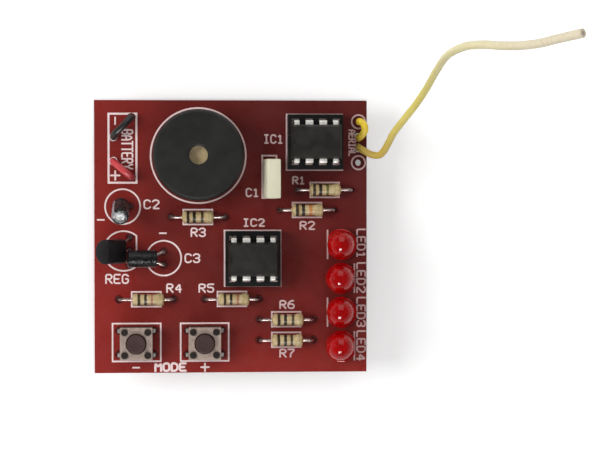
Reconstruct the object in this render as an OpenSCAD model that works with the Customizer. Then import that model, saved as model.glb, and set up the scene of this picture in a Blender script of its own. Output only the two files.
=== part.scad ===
// Pocket theremin built on one square circuit board.
// Seen from above: battery pads and a round sounder at the upper left, two socketed
// chips, seven resistors, three capacitors, a voltage regulator, four red lamps down
// the right side, two push buttons at the lower left and a stiff wire aerial at the
// upper right. The battery lead and its snap connector are stowed under the board.
//
// Axes: X to the right and Y up the board, Z out of its parts side. The origin is
// the end of the connector's stud, under the middle of the board, on the surface
// that the connector rests on.

/* [Board] */
// Side of the square circuit board
board_side = 50.8; // [48:0.1:60]
// Thickness of the circuit board
board_t = 1.6; // [1:0.1:2.4]
// Grid that the board is drilled on
grid = 2.54; // [2.5:0.01:2.58]
// Drilled hole for a thin lead
hole_d = 0.9; // [0.8:0.05:1.1]
// Width of the tinned ring round a thin lead's hole
ring_w = 0.35; // [0.2:0.05:0.5]
// Thickness of a tinned ring
ring_t = 0.05; // [0.03:0.01:0.08]
// Length of lead left under the board
stub_h = 1.9; // [1.5:0.1:2.5]
// Height of a solder joint under the board
solder_h = 1.2; // [0.8:0.1:1.4]
// Line width of the printed outlines
ink_w = 0.3; // [0.2:0.02:0.4]
// Thickness of the printed outlines
ink_t = 0.04; // [0.02:0.01:0.06]

/* [Sounder] */
// Outer diameter of the sounder's case
sounder_d = 16.7; // [14:0.1:17.5]
// Height of the sounder's case
sounder_h = 7; // [5:0.1:9]
// Wall of the sounder's case
sounder_wall = 1; // [0.6:0.1:1.4]
// Sound hole in the case
sound_hole_d = 3.4; // [2.5:0.1:5]
// Distance between the sounder's two pins
sounder_pitch = 10; // [7.5:0.5:10]
// Diameter of a sounder pin
sounder_pin_d = 0.6; // [0.5:0.05:0.7]
// Thickness of the vibrating disc, and of the ceramic on it
disc_t = 0.2; // [0.1:0.05:0.3]

/* [Chips] */
// Length of a chip's body
chip_l = 9.4; // [9:0.1:9.9]
// Width of a chip's body
chip_w = 6.35; // [6:0.05:6.6]
// Height of a chip's body
chip_h = 3.3; // [2.8:0.1:3.6]
// Side of a socket
socket_side = 10.2; // [10:0.1:10.4]
// Height of a socket
socket_h = 3.4; // [3:0.1:5]
// Thickness of a chip's leg
leg_t = 0.26; // [0.2:0.02:0.3]
// Width of a chip's leg at its shoulder
shoulder_w = 1.4; // [1.2:0.1:1.6]

/* [Resistors] */
// Length of a resistor's body
resistor_l = 5.8; // [5.5:0.1:6.8]
// Diameter of a resistor's body at its ends
resistor_d = 2.4; // [2:0.1:2.6]
// Diameter of a resistor's body between its ends
resistor_waist_d = 2; // [1.7:0.1:2]
// Distance between a resistor's two holes
resistor_span = 10.16; // [9.5:0.02:10.6]
// Diameter of the tinned leads
lead_d = 0.55; // [0.4:0.05:0.65]

/* [Capacitors] */
// Length of the film capacitor
film_l = 7.2; // [7:0.1:7.4]
// Width of the film capacitor
film_w = 2.5; // [2.3:0.1:3]
// Height of the film capacitor
film_h = 6.5; // [5:0.1:8]
// Diameter of a small electrolytic capacitor
can_d = 3.2; // [2.8:0.1:3.4]
// Length of a small electrolytic capacitor
can_l = 5.3; // [4.8:0.1:5.5]
// Wall of the can and thickness of its sleeve
can_wall = 0.2; // [0.15:0.05:0.3]
// Distance between its leads where they leave it
can_pitch = 1.4; // [1.2:0.1:1.6]

/* [Regulator] */
// Width of the regulator's body
regulator_w = 4.6; // [4.3:0.1:4.8]
// Depth from its flat to its round back
regulator_depth = 3.6; // [3.3:0.1:3.8]
// Height of the regulator's body
regulator_h = 4.6; // [4.2:0.1:5]
// Lean of the regulator towards the board's edge, in degrees
regulator_lean = 41; // [38:1:44]

/* [Lamps] */
// Diameter of a lamp's dome
lamp_d = 5; // [4.6:0.1:5.2]
// Diameter of a lamp's base flange
flange_d = 5.8; // [5.4:0.1:6]
// Thickness of the flange
flange_t = 1; // [0.8:0.1:1.4]
// Height of a lamp
lamp_h = 8.6; // [7.6:0.1:9]
// Distance between two lamps
lamp_pitch = 6.35; // [6.1:0.05:6.6]

/* [Buttons] */
// Side of a button's base
switch_side = 6; // [5.8:0.1:6.2]
// Height of a button's base
switch_h = 3.2; // [3:0.1:3.5]
// Thickness of a button's metal cover
cover_t = 0.25; // [0.2:0.05:0.3]
// Diameter of the plunger
plunger_d = 3.5; // [3.2:0.1:3.6]
// Height of the plunger above the cover
plunger_h = 0.9; // [0.6:0.1:2]
// Travel of the plunger
travel = 0.25; // [0.2:0.05:0.3]
// Clearance round the plunger
plunger_gap = 0.18; // [0.15:0.01:0.25]

/* [Aerial] */
// Diameter of the aerial's insulation
aerial_d = 1.3; // [1.1:0.05:1.4]
// Diameter of the aerial's solid core
core_d = 0.6; // [0.5:0.05:0.7]
// Hole that a wire is threaded through
relief_d = 1.65; // [1.5:0.05:1.8]
// Hole of the spare aerial pad
spare_d = 1.2; // [1:0.05:1.3]

/* [Battery lead] */
// Diameter of a battery wire's insulation
wire_d = 1.3; // [1.1:0.05:1.4]
// Diameter of its bared and tinned end
tail_d = 0.7; // [0.6:0.05:0.8]
// Radius of a coil at the middle of its turns
coil_r = 6.5; // [6.3:0.1:6.8]
// Distance between two turns of a coil, across or up
coil_pitch = 2.1; // [2.05:0.05:2.2]

/* [Snap connector] */
// Length of the connector
snap_l = 26; // [25:0.5:28]
// Width of the connector
snap_w = 12.8; // [12:0.1:13.5]
// Thickness of the soft cover
snap_cover_t = 2.4; // [2:0.1:3]
// Thickness of the stiff plate under the cover
snap_plate_t = 0.6; // [0.4:0.1:1]
// Height of the two terminals
terminal_h = 2.6; // [2.4:0.1:3]
// Diameter of the stud terminal
stud_d = 5.7; // [5.6:0.05:5.8]
// Clearance between a stud and a socket terminal
stud_gap = 0.1; // [0.05:0.01:0.15]
// Wall of the socket terminal
socket_wall = 0.9; // [0.6:0.1:1.2]

/* [Hidden] */
$fn = 48;

// Heights: the connector carries the board on its solder stubs
snap_top = terminal_h + snap_plate_t + snap_cover_t;
board_z = snap_top + stub_h;
top_z = board_z + board_t;
cut = 0.5;              // overrun of every cutting solid
slip = 0.02;            // gap between faces that only just meet
half = board_side / 2;

// Places of the parts' middles on the board, held to the board's edges
sounder_at = [-6.1, half - 10.3];
ic1_at = [half - 9.8, half - 7.8];
ic2_at = [4, -4.05];
film_inset = 18.25;
film_at = [half - film_inset, 11.15];
c2_at = [-half + 5.25, 5.6];
c3_at = [-half + 12.85, -4];
c3_far_x = -half + 6.3;
regulator_at = [-half + 6.55, -2.65];
r1_at = [half - 7.9, 8.7];
r2_at = [half - 11.2, 4.95];
r3_at = [-6.2, 3.65];
r4_at = [-half + 9.6, -11.65];
r5_at = [0.15, -11.65];
r6_at = [half - 15.1, -15.5];
r7_at = [half - 15.1, -19.35];
resistors_at = [r1_at, r2_at, r3_at, r4_at, r5_at, r6_at, r7_at];
lamp_at = [for (i = [0 : 3]) [half - 4.8, -1.5 - i * lamp_pitch]];
switch_inset = 5.7;     // of both buttons from the lower edge
switch_gap = 12.65;     // between their middles
minus_at = [-half + 7.8, -half + switch_inset];
plus_at = minus_at + [switch_gap, 0];
aerial_at = [half - 1.55, half - 3.95];
aerial_relief_1 = aerial_at - [0, 2.9];
aerial_relief_2 = aerial_at - [0, 4.85];
spare_at = aerial_at - [0, 7.65];
black_at = [-half + 6.9, half - 3.2];
black_relief = [-half + 3.55, half - 6.8];
red_at = [-half + 6.9, half - 14.25];
red_relief = [-half + 3.5, half - 11.35];

// Distances that are whole steps of the grid
lead_pitch = grid;
row_pitch = 3 * grid;
film_pitch = 2 * grid;
terminal_pitch = 5 * grid;

// Pins of each kind of part, as offsets from its middle
resistor_pins = [[-resistor_span / 2, 0], [resistor_span / 2, 0]];
film_pins = [[0, -film_pitch / 2], [0, film_pitch / 2]];
c2_pins = [[-lead_pitch / 2, 0], [lead_pitch / 2, 0]];
c3_pins = [[0, lead_pitch / 2], [0, -lead_pitch / 2]];
regulator_pins = [for (k = [-1 : 1]) [0, k * lead_pitch]];
lamp_pins = [[-lead_pitch / 2, 0], [lead_pitch / 2, 0]];
sounder_pins_at = [[-sounder_pitch / 2, 0], [sounder_pitch / 2, 0]];
chip_pins = [for (row = [-1, 1], k = [-1.5 : 1.5]) [k * grid, row * row_pitch / 2]];
switch_leg_x = 3.25;
switch_leg_y = 2.25;
switch_pins = [for (x = [-1, 1], y = [-1, 1]) [x * switch_leg_x, y * switch_leg_y]];

// Every soldered pin as [x, y, diameter of its lead]
function pins(middles, offsets, d) = [for (m = middles, o = offsets) [m.x + o.x, m.y + o.y, d]];
function bore_for(d) = max(hole_d, d + 0.2);        // drilled for a lead of diameter d
function ring_for(d) = bore_for(d) + 2 * ring_w;    // and the ring round it
frame_lead_d = 0.5;     // lead of a lamp
contact_tail_d = 0.5;   // tail of a socket contact
switch_leg_d = 0.6;     // tail of a button's leg
regulator_leg_d = 0.45;
solder_pins = concat(
    pins(resistors_at, resistor_pins, lead_d),
    pins([film_at], film_pins, lead_d),
    pins([c2_at], c2_pins, lead_d),
    pins([c3_at], c3_pins, lead_d),
    pins([regulator_at], regulator_pins, regulator_leg_d),
    pins(lamp_at, lamp_pins, frame_lead_d),
    pins([sounder_at], sounder_pins_at, sounder_pin_d),
    pins([ic1_at, ic2_at], chip_pins, contact_tail_d),
    pins([minus_at, plus_at], switch_pins, switch_leg_d),
    pins([red_at, black_at], [[0, 0]], tail_d),
    pins([aerial_at], [[0, 0]], core_d));
relief_holes = [aerial_relief_1, aerial_relief_2, red_relief, black_relief];

// ---------------------------------------------------------------- helpers

// Children placed with their base on the parts side of the board
module on_board(middle) {
    translate([middle.x, middle.y, top_z]) children();
}

// Children that stand on the tinned rings of their own pads, clear of the printed lines
seat = max(ring_t, ink_t);
module seated(middle) {
    translate([middle.x, middle.y, top_z + seat]) children();
}

// Lead that comes straight down through its hole to the end of its stub
module tail(d, start = 0) {
    reach = board_t + stub_h + start;
    translate([0, 0, -reach]) cylinder(d = d, h = reach, $fn = 32);
}

// Smooth curve through points, each span in steps, by cubic blending of four points
function blend_point(a, b, c, d, t) =
    0.5 * ((2 * b) + (c - a) * t + (2 * a - 5 * b + 4 * c - d) * t * t
        + (3 * b - a - 3 * c + d) * t * t * t);
function smooth(p, steps) = concat(
    [for (i = [0 : len(p) - 2], k = [0 : steps - 1])
        blend_point(p[max(i - 1, 0)], p[i], p[i + 1], p[min(i + 2, len(p) - 1)], k / steps)],
    [p[len(p) - 1]]);
// The same with its first and last stretch straight, so that its ends meet others face to face
function led(p, steps) = concat([p[0]],
    [for (i = [1 : len(p) - 3], k = [0 : steps - 1])
        blend_point(p[i - 1], p[i], p[i + 1], p[i + 2], k / steps)],
    [p[len(p) - 2], p[len(p) - 1]]);

function unit(v) = v / norm(v);
// Route through points with each inner corner rounded off, r along each side of it
function corner(a, b, c, r) = let (from = b + r * unit(a - b), to = b + r * unit(c - b))
    [for (t = [0, 0.25, 0.5, 0.75, 1]) (1 - t) * (1 - t) * from + 2 * t * (1 - t) * b + t * t * to];
function rounded(p, r) = concat([p[0]],
    [for (i = [1 : len(p) - 2]) each corner(p[i - 1], p[i], p[i + 1], r)],
    [p[len(p) - 1]]);
function tangent(p, i) = unit(p[min(i + 1, len(p) - 1)] - p[max(i - 1, 0)]);
// Frame carried along the route: the side vector is turned as little as it can be
function carry(p, i, side) = unit(side - (side * tangent(p, i)) * tangent(p, i));
function sides(p, first) = [for (i = 0, s = carry(p, 0, first); i < len(p);
    i = i + 1, s = i < len(p) ? carry(p, i, s) : s) s];

// Tube of n sides swept along route p
module tube(p, d, n, first = [0, 0, 1]) {
    side = sides(p, first);
    rings = [for (i = [0 : len(p) - 1], k = [0 : n - 1])
        let (across = side[i], up = cross(tangent(p, i), across), a = 360 * (k + 0.5) / n)
            p[i] + d / 2 * (cos(a) * across + sin(a) * up)];
    last = (len(p) - 1) * n;
    faces = concat(
        [for (k = [1 : n - 2]) [0, k, k + 1]],
        [for (k = [1 : n - 2]) [last, last + k + 1, last + k]],
        [for (i = [0 : len(p) - 2], k = [0 : n - 1])
            [i * n + k, (i + 1) * n + k, (i + 1) * n + (k + 1) % n]],
        [for (i = [0 : len(p) - 2], k = [0 : n - 1])
            [i * n + k, (i + 1) * n + (k + 1) % n, i * n + (k + 1) % n]]);
    polyhedron(points = rings, faces = faces);
}

// ---------------------------------------------------------------- board

module circuit_board() {
    color("firebrick")
    difference() {
        translate([-half, -half, board_z]) cube([board_side, board_side, board_t]);
        for (p = solder_pins)
            translate([p.x, p.y, board_z - cut])
                cylinder(d = bore_for(p.z), h = board_t + 2 * cut, $fn = 24);
        for (p = relief_holes)
            translate([p.x, p.y, board_z - cut])
                cylinder(d = relief_d, h = board_t + 2 * cut);
        translate([spare_at.x, spare_at.y, board_z - cut])
            cylinder(d = spare_d, h = board_t + 2 * cut);
    }
}

// Tinned ring round a hole, on both faces of the board
module tinned_ring(at, bore) {
    for (z = [board_z - ring_t, top_z])
        translate([at.x, at.y, z])
            difference() {
                cylinder(d = bore + 2 * ring_w, h = ring_t, $fn = 32);
                translate([0, 0, -cut]) cylinder(d = bore, h = ring_t + 2 * cut, $fn = 24);
            }
}

module solder_pads() {
    color("lightgray") {
        for (p = solder_pins) tinned_ring(p, bore_for(p.z));
        tinned_ring(spare_at, spare_d);
    }
}

// A joint is a cone of solder round the stub, on the tinned ring
module solder_joints() {
    tip_w = 0.15;
    color("silver")
    for (p = solder_pins)
        translate([p.x, p.y, board_z - ring_t - solder_h])
            difference() {
                cylinder(d1 = p.z + 2 * tip_w, d2 = ring_for(p.z), h = solder_h, $fn = 32);
                translate([0, 0, -cut]) cylinder(d = p.z, h = solder_h + 2 * cut, $fn = 32);
            }
}

// ---------------------------------------------------------------- legend

module ink_box(middle, size, line = ink_w) {
    on_board(middle)
        linear_extrude(ink_t)
            difference() {
                square(size + [line, line], center = true);
                square(size - [line, line], center = true);
            }
}

module ink_ring(middle, r) {
    on_board(middle)
        linear_extrude(ink_t)
            difference() {
                circle(r + ink_w / 2, $fn = 96);
                circle(r - ink_w / 2, $fn = 96);
            }
}

module ink_bar(middle, size) {
    on_board(middle)
        translate([-size.x / 2, -size.y / 2, 0]) cube([size.x, size.y, ink_t]);
}

// Gap in a printed line at the tinned ring of a lead of diameter d
module pad_gap(at, d) {
    on_board(at) translate([0, 0, -cut]) cylinder(d = ring_for(d), h = 2 * cut, $fn = 32);
}

module legend_outlines() {
    battery_box = [5.15, 12.8];
    chip_box = [10.45, 10.35];
    resistor_box = [5.4, 2.75];
    switch_box = [8.95, 7.05];
    film_box = [2.65, 7.9];
    electrolytic_r = 3.25;
    sounder_r = sounder_d / 2 + 0.5;
    regulator_r = 3.7;
    regulator_flat = 2.4;
    past = regulator_r + cut;
    aerial_r = 1.27;
    minus_l = 1.4;
    lamp_flat = [ink_w, 5.5];
    color("mistyrose") {
        // box of the battery wires, broken off at their two pads
        difference() {
            ink_box([-half + 5.25, half - 8.95], battery_box, 0.38);
            for (at = [red_at, black_at]) pad_gap(at, tail_d);
        }
        ink_ring(sounder_at, sounder_r);
        for (at = [ic1_at, ic2_at]) ink_box(at, chip_box);
        for (at = resistors_at) ink_box(at, resistor_box);
        ink_box(film_at, film_box);
        for (at = [minus_at, plus_at]) ink_box(at, switch_box);
        for (at = [c2_at, c3_at]) ink_ring(at, electrolytic_r);
        for (at = [aerial_at, spare_at]) ink_ring(at, aerial_r);
        // round outline of the regulator with its flat side towards the board's middle
        difference() {
            on_board(regulator_at - [1.15, 0])
                linear_extrude(ink_t)
                    difference() {
                        intersection() {
                            circle(regulator_r + ink_w / 2);
                            translate([-past, -past]) square([past + regulator_flat + ink_w / 2, 2 * past]);
                        }
                        intersection() {
                            circle(regulator_r - ink_w / 2);
                            translate([-past, -past]) square([past + regulator_flat - ink_w / 2, 2 * past]);
                        }
                    }
            for (o = regulator_pins) pad_gap(regulator_at + o, regulator_leg_d);
        }
        // flat side of each lamp, on the left of one and on the right of the next
        for (i = [0 : 3]) ink_bar(lamp_at[i] + [i % 2 == 0 ? -2.55 : 2.5, 0], lamp_flat);
        // signs beside the capacitors and under the buttons
        for (at = [c2_at + [-4.05, -2.45], c3_at + [-0.15, 4.65], minus_at + [-0.1, -4.7]])
            ink_bar(at, [minus_l, ink_w]);
    }
}

// ---------------------------------------------------------------- sounder

sounder_rim = 0.5;                      // slope round the top of the case
air_gap = 1.2;                          // from the top wall down to the disc
disc_z = sounder_h - sounder_wall - air_gap - disc_t; // the disc bears on a ledge under the top
disc_r = sounder_d / 2 - sounder_wall - 0.3;
ledge_w = 1.2;
base_t = 0.8;
pin_head_h = 0.8;                       // length of a pin inside the sounder, above its base plate

module sounder_case() {
    r = sounder_d / 2;
    inner_r = r - sounder_wall;
    color("dimgray")
    seated(sounder_at)
        rotate_extrude($fn = 96)
            polygon([[inner_r, 0], [r, 0], [r, sounder_h - sounder_rim], [r - sounder_rim, sounder_h],
                [sound_hole_d / 2, sounder_h], [sound_hole_d / 2, sounder_h - sounder_wall],
                [disc_r - ledge_w, sounder_h - sounder_wall], [disc_r - ledge_w, disc_z + disc_t],
                [inner_r, disc_z + disc_t]]);
}

module sounder_disc() {
    color("goldenrod")
    seated(sounder_at)
        translate([0, 0, disc_z]) cylinder(r = disc_r, h = disc_t, $fn = 96);
}

module sounder_ceramic() {
    color("ivory")
    seated(sounder_at)
        translate([0, 0, disc_z - disc_t]) cylinder(r = disc_r * 0.65, h = disc_t, $fn = 64);
}

// Base plate with a wall that holds the disc against the ledge
module sounder_base() {
    r = sounder_d / 2 - sounder_wall;
    color("dimgray")
    seated(sounder_at)
        difference() {
            cylinder(r = r, h = disc_z, $fn = 96);
            translate([0, 0, base_t]) cylinder(r = disc_r - ledge_w, h = disc_z, $fn = 96);
            for (o = sounder_pins_at)
                translate([o.x, o.y, -cut])
                    cylinder(d = sounder_pin_d, h = cut + base_t + pin_head_h + cut, $fn = 32);
        }
}

module sounder_pins() {
    color("silver")
    seated(sounder_at)
        for (o = sounder_pins_at)
            translate([o.x, o.y, 0]) {
                tail(sounder_pin_d, seat);
                cylinder(d = sounder_pin_d, h = base_t + pin_head_h, $fn = 32);
            }
}

// ---------------------------------------------------------------- chips

contact_w = 1.3;        // a contact along the row
contact_depth = 0.9;    // and across it
contact_h = 2.6;
contact_floor = 0.4;    // metal left under the slot that takes a leg

module socket(middle) {
    window_w = 3.6;     // open middle of the socket, under the chip
    window_l = 6.6;
    color("dimgray")
    seated(middle)
        difference() {
            translate([-socket_side / 2, -socket_side / 2, 0])
                cube([socket_side, socket_side, socket_h]);
            translate([-window_l / 2, -window_w / 2, -cut])
                cube([window_l, window_w, socket_h + 2 * cut]);
            for (o = chip_pins)
                translate([o.x, o.y, 0]) {
                    translate([-contact_w / 2, -contact_depth / 2, socket_h - contact_h])
                        cube([contact_w, contact_depth, contact_h + cut]);
                    translate([0, 0, -cut])
                        cylinder(d = contact_tail_d, h = socket_h, $fn = 24);
                }
            // notch at the end where the count of pins starts
            translate([-socket_side / 2, 0, socket_h - 0.6]) cylinder(d = 2.4, h = 0.6 + cut);
        }
}

module ic1_socket() {
    socket(ic1_at);
}

module ic2_socket() {
    socket(ic2_at);
}

// Forked contacts with their tails, one under each leg
module socket_contacts() {
    color("silver")
    for (m = [ic1_at, ic2_at], o = chip_pins)
        seated(m + o) {
            translate([0, 0, socket_h - contact_h])
                difference() {
                    translate([-contact_w / 2, -contact_depth / 2, 0])
                        cube([contact_w, contact_depth, contact_h]);
                    translate([-contact_w / 2 - cut, -leg_t / 2, contact_floor])
                        cube([contact_w + 2 * cut, leg_t, contact_h]);
                }
            tail(contact_tail_d, seat);
            cylinder(d = contact_tail_d, h = socket_h - contact_h, $fn = 24);
        }
}

// Moulded body: two crossed prisms, each widest at the legs and sloping 7 degrees
chip_slope = 0.19;      // how far each side slopes in, from the legs to the top
module chip(middle) {
    notch_d = 1.6;
    notch_depth = 0.5;
    mid = chip_h / 2;
    color("dimgray")
    seated(middle)
        translate([0, 0, socket_h])
            difference() {
                intersection() {
                    rotate([90, 0, 0])
                        translate([0, 0, -chip_w / 2])
                            linear_extrude(chip_w)
                                polygon([[-chip_l / 2 + chip_slope, 0], [chip_l / 2 - chip_slope, 0],
                                    [chip_l / 2, mid], [chip_l / 2 - chip_slope, chip_h],
                                    [-chip_l / 2 + chip_slope, chip_h], [-chip_l / 2, mid]]);
                    rotate([90, 0, 90])
                        translate([0, 0, -chip_l / 2])
                            linear_extrude(chip_l)
                                polygon([[-chip_w / 2 + chip_slope, 0], [chip_w / 2 - chip_slope, 0],
                                    [chip_w / 2, mid], [chip_w / 2 - chip_slope, chip_h],
                                    [-chip_w / 2 + chip_slope, chip_h], [-chip_w / 2, mid]]);
                }
                translate([-chip_l / 2, 0, chip_h - notch_depth])
                    cylinder(d = notch_d, h = notch_depth + cut);
                for (o = chip_pins) leg_shoulder(o);
            }
}

// Part of a leg inside the body and out to the bend, at the body's mid height
leg_inside = 0.6;
leg_tip_w = 0.5;        // width of the part of a leg that enters the socket
// Shoulder of the leg at offset o: from and to along the row, narrow on an end leg's outer side
function shoulder_from(o) = o.x - (o.x < -grid ? leg_tip_w : shoulder_w) / 2;
function shoulder_to(o) = o.x + (o.x > grid ? leg_tip_w : shoulder_w) / 2;
module leg_shoulder(o) {
    reach = (row_pitch - chip_w) / 2 + leg_inside + leg_t / 2;
    start = o.y > 0 ? chip_w / 2 - leg_inside : -chip_w / 2 + leg_inside - reach;
    translate([shoulder_from(o), start, (chip_h - leg_t) / 2])
        cube([shoulder_to(o) - shoulder_from(o), reach, leg_t]);
}

module chip_legs() {
    mid = (chip_h - leg_t) / 2;
    into = contact_h - contact_floor - slip;
    color("silver")
    for (m = [ic1_at, ic2_at], o = chip_pins)
        seated(m) {
            translate([0, 0, socket_h]) leg_shoulder(o);
            translate([shoulder_from(o), o.y - leg_t / 2, socket_h])
                cube([shoulder_to(o) - shoulder_from(o), leg_t, mid + leg_t]);
            translate([o.x - leg_tip_w / 2, o.y - leg_t / 2, socket_h - into])
                cube([leg_tip_w, leg_t, into]);
        }
}

module ic1_chip() {
    chip(ic1_at);
}

module ic2_chip() {
    chip(ic2_at);
}

// ---------------------------------------------------------------- resistors

resistor_lift = 0.1;
resistor_z = resistor_d / 2 + resistor_lift;
bulge_l = 1.5;          // length of each thicker end
lead_inset = 0.4;       // length of lead inside the body's end
// How far each body sits to the right of the middle between its holes
resistor_shifts = [0, 0, 0, 0.4, 0.3, 0.25, 0.15];

module resistor(i) {
    end_r = resistor_d / 2;
    waist_r = resistor_waist_d / 2;
    h = resistor_l / 2;
    nose_r = 0.7;
    color("wheat")
    on_board(resistors_at[i] + [resistor_shifts[i], 0])
        translate([0, 0, resistor_z])
            rotate([0, 90, 0])
                difference() {
                    rotate_extrude()
                        polygon([[0, -h], [nose_r, -h], [end_r - 0.12, -h + 0.3], [end_r, -h + 0.65],
                            [end_r - 0.03, -h + 1.05], [waist_r, -h + bulge_l], [waist_r, h - bulge_l],
                            [end_r - 0.03, h - 1.05], [end_r, h - 0.65], [end_r - 0.12, h - 0.3],
                            [nose_r, h], [0, h]]);
                    for (z = [-h - cut, h - lead_inset])
                        translate([0, 0, z]) cylinder(d = lead_d, h = lead_inset + cut, $fn = 32);
                }
}

// Lead from the body's end, round a bend and down through the board; the body sits
// nearer to it by the given shift
module bent_lead(shift) {
    bend_r = 0.9;
    inner_end = resistor_l / 2 - lead_inset + shift;
    straight = resistor_span / 2 - bend_r - inner_end;
    translate([inner_end, 0, resistor_z])
        rotate([0, 90, 0]) cylinder(d = lead_d, h = straight, $fn = 32);
    translate([resistor_span / 2 - bend_r, 0, resistor_z - bend_r])
        rotate([90, 0, 0])
            rotate_extrude(angle = 90, $fn = 48)
                translate([bend_r, 0]) circle(d = lead_d, $fn = 32);
    translate([resistor_span / 2, 0, 0]) {
        tail(lead_d);
        cylinder(d = lead_d, h = resistor_z - bend_r, $fn = 32);
    }
}

module resistor_leads() {
    color("silver")
    for (i = [0 : len(resistors_at) - 1], way = [-1, 1])
        on_board(resistors_at[i]) rotate(way > 0 ? 0 : 180) bent_lead(way * resistor_shifts[i]);
}

module resistor_r1() {
    resistor(0);
}

module resistor_r2() {
    resistor(1);
}

module resistor_r3() {
    resistor(2);
}

module resistor_r4() {
    resistor(3);
}

module resistor_r5() {
    resistor(4);
}

module resistor_r6() {
    resistor(5);
}

module resistor_r7() {
    resistor(6);
}

// ---------------------------------------------------------------- capacitors

film_lean = 5;          // degrees, towards the lamps
film_lift = 0.4;        // its leads hold it this far off the board
film_shift = [0, -0.35];
film_foot = 1;          // length of lead inside the box

module film_lead(o) {
    translate([o.x, o.y, 0]) {
        tail(lead_d);
        cylinder(d = lead_d, h = film_lift + film_foot, $fn = 32);
    }
}

module film_capacitor() {
    edge = 0.35;        // slope along the long edges of the top
    w = film_w / 2;
    color("ivory")
    on_board(film_at)
        difference() {
            translate([film_shift.x, film_shift.y, film_lift])
                rotate([0, film_lean, 0])
                    rotate([90, 0, 0])
                        translate([0, 0, -film_l / 2])
                            linear_extrude(film_l)
                                polygon([[-w, 0], [w, 0], [w, film_h - edge], [w - edge, film_h],
                                    [-w + edge, film_h], [-w, film_h - edge]]);
            for (o = film_pins) film_lead(o);
        }
}

// The first electrolytic leans down the board, the second lies over towards the regulator
can_lift = 1.05;
c2_lean = 22.5;
c2_shift = [-0.25, 0.25];
c3_end_z = 2.6;         // height of its far end's middle
c3_near_z = 1.95;
c3_tilt = atan((c3_end_z - c3_near_z) / can_l);
bung_h = 0.9;
bung_inset = 0.25;      // bung sunk into the sleeve
lip_w = 0.35;           // sleeve turned over the can's top

module c2_pose() {
    on_board(c2_at) translate([c2_shift.x, c2_shift.y, can_lift]) rotate([c2_lean, 0, 0]) children();
}

module c3_pose() {
    translate([c3_far_x, c3_at.y, top_z + c3_end_z])
        rotate([0, 90 + c3_tilt, 0])
            mirror([0, 0, 1])
                translate([0, 0, -can_l]) children();
}

// Aluminium cup, mouth down
module can() {
    r = can_d / 2 - can_wall;
    color("silver")
    difference() {
        translate([0, 0, bung_inset]) cylinder(r = r, h = can_l - bung_inset);
        translate([0, 0, -cut]) cylinder(r = r - can_wall, h = can_l - 2 * can_wall + cut);
    }
}

// Plastic sleeve shrunk on the can, turned in over its top
module sleeve() {
    r = can_d / 2;
    color("darkslategray")
    rotate_extrude()
        polygon([[r - can_wall, 0], [r, 0], [r, can_l], [r - lip_w, can_l + can_wall / 2],
            [r - lip_w, can_l], [r - can_wall, can_l]]);
}

// Rubber bung with holes for the two leads
module bung() {
    r = can_d / 2 - 2 * can_wall;
    color("dimgray")
    difference() {
        translate([0, 0, bung_inset]) cylinder(r = r, h = bung_h);
        for (x = [-1, 1])
            translate([x * can_pitch / 2, 0, -cut])
                cylinder(d = lead_d, h = bung_h + 2 * cut + bung_inset, $fn = 32);
    }
}

module capacitor_cans() {
    c2_pose() can();
    c3_pose() can();
}

module c2_sleeve() {
    c2_pose() sleeve();
}

module c3_sleeve() {
    c3_pose() sleeve();
}

module capacitor_bungs() {
    c2_pose() bung();
    c3_pose() rotate(90) bung();
}

// Where the capacitors' leads come out of their bungs, measured from the parts' middles
c2_exit = [c2_shift.x, c2_shift.y, can_lift];
c3_exit = [c3_far_x - c3_at.x + can_l * cos(c3_tilt), 0, c3_near_z];
c2_axis = [0, -sin(c2_lean), cos(c2_lean)];
c3_axis = [-cos(c3_tilt), 0, sin(c3_tilt)];
lead_knee = 0.45;       // height at which the upright one's leads bend
lead_bend = 0.3;        // length rounded off at each bend
lead_sides = 8;

module capacitor_leads() {
    into = bung_h + bung_inset;
    reach = board_t + stub_h;
    color("silver") {
        on_board(film_at) for (o = film_pins) film_lead(o);
        for (k = [0, 1]) {
            side = k == 0 ? -1 : 1;
            hole_2 = [c2_pins[k].x, 0, 0];
            exit_2 = c2_exit + [side * can_pitch / 2, 0, 0];
            on_board(c2_at)
                tube(rounded([hole_2 - [0, 0, reach], hole_2 + [0, 0, lead_knee], exit_2,
                    exit_2 + into * c2_axis], lead_bend), lead_d, lead_sides, [1, 0, 0]);
            hole_3 = [0, c3_pins[k].y, 0];
            exit_3 = c3_exit + [0, -side * can_pitch / 2, 0];
            on_board(c3_at)
                tube(rounded([hole_3 - [0, 0, reach], hole_3 + [0, 0, c3_near_z - lead_bend], exit_3,
                    exit_3 + into * c3_axis], lead_bend), lead_d, lead_sides, [1, 0, 0]);
        }
    }
}

// ---------------------------------------------------------------- regulator

// Its legs stand straight from their holes, leaning with the body. The body's base is
// this far along them, so that its round back stays clear of the board.
leg_pitch = 1.27;       // between the legs at the body
leg_setback = 1.27;     // of the legs behind the flat
regulator_back = regulator_depth - leg_setback;
back_clear = 0.15;
leg_run = (regulator_back * sin(regulator_lean) + back_clear) / cos(regulator_lean);
leg_sunk = 1;           // length of a leg inside the body
leg_knee = 0.4;         // where the outer legs bend, below the body

module regulator_pose() {
    on_board(regulator_at) rotate([0, -regulator_lean, 0]) translate([0, 0, leg_run]) children();
}

module regulator_body() {
    r = regulator_w / 2;
    color("dimgray")
    regulator_pose()
        difference() {
            linear_extrude(regulator_h)
                intersection() {
                    translate([leg_setback + r - regulator_depth, 0]) circle(r, $fn = 64);
                    translate([-regulator_back, -r]) square([regulator_depth, 2 * r]);
                }
            for (k = [-1 : 1])
                translate([0, k * leg_pitch, -cut])
                    cylinder(d = regulator_leg_d, h = leg_sunk + cut, $fn = 32);
        }
}

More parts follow.
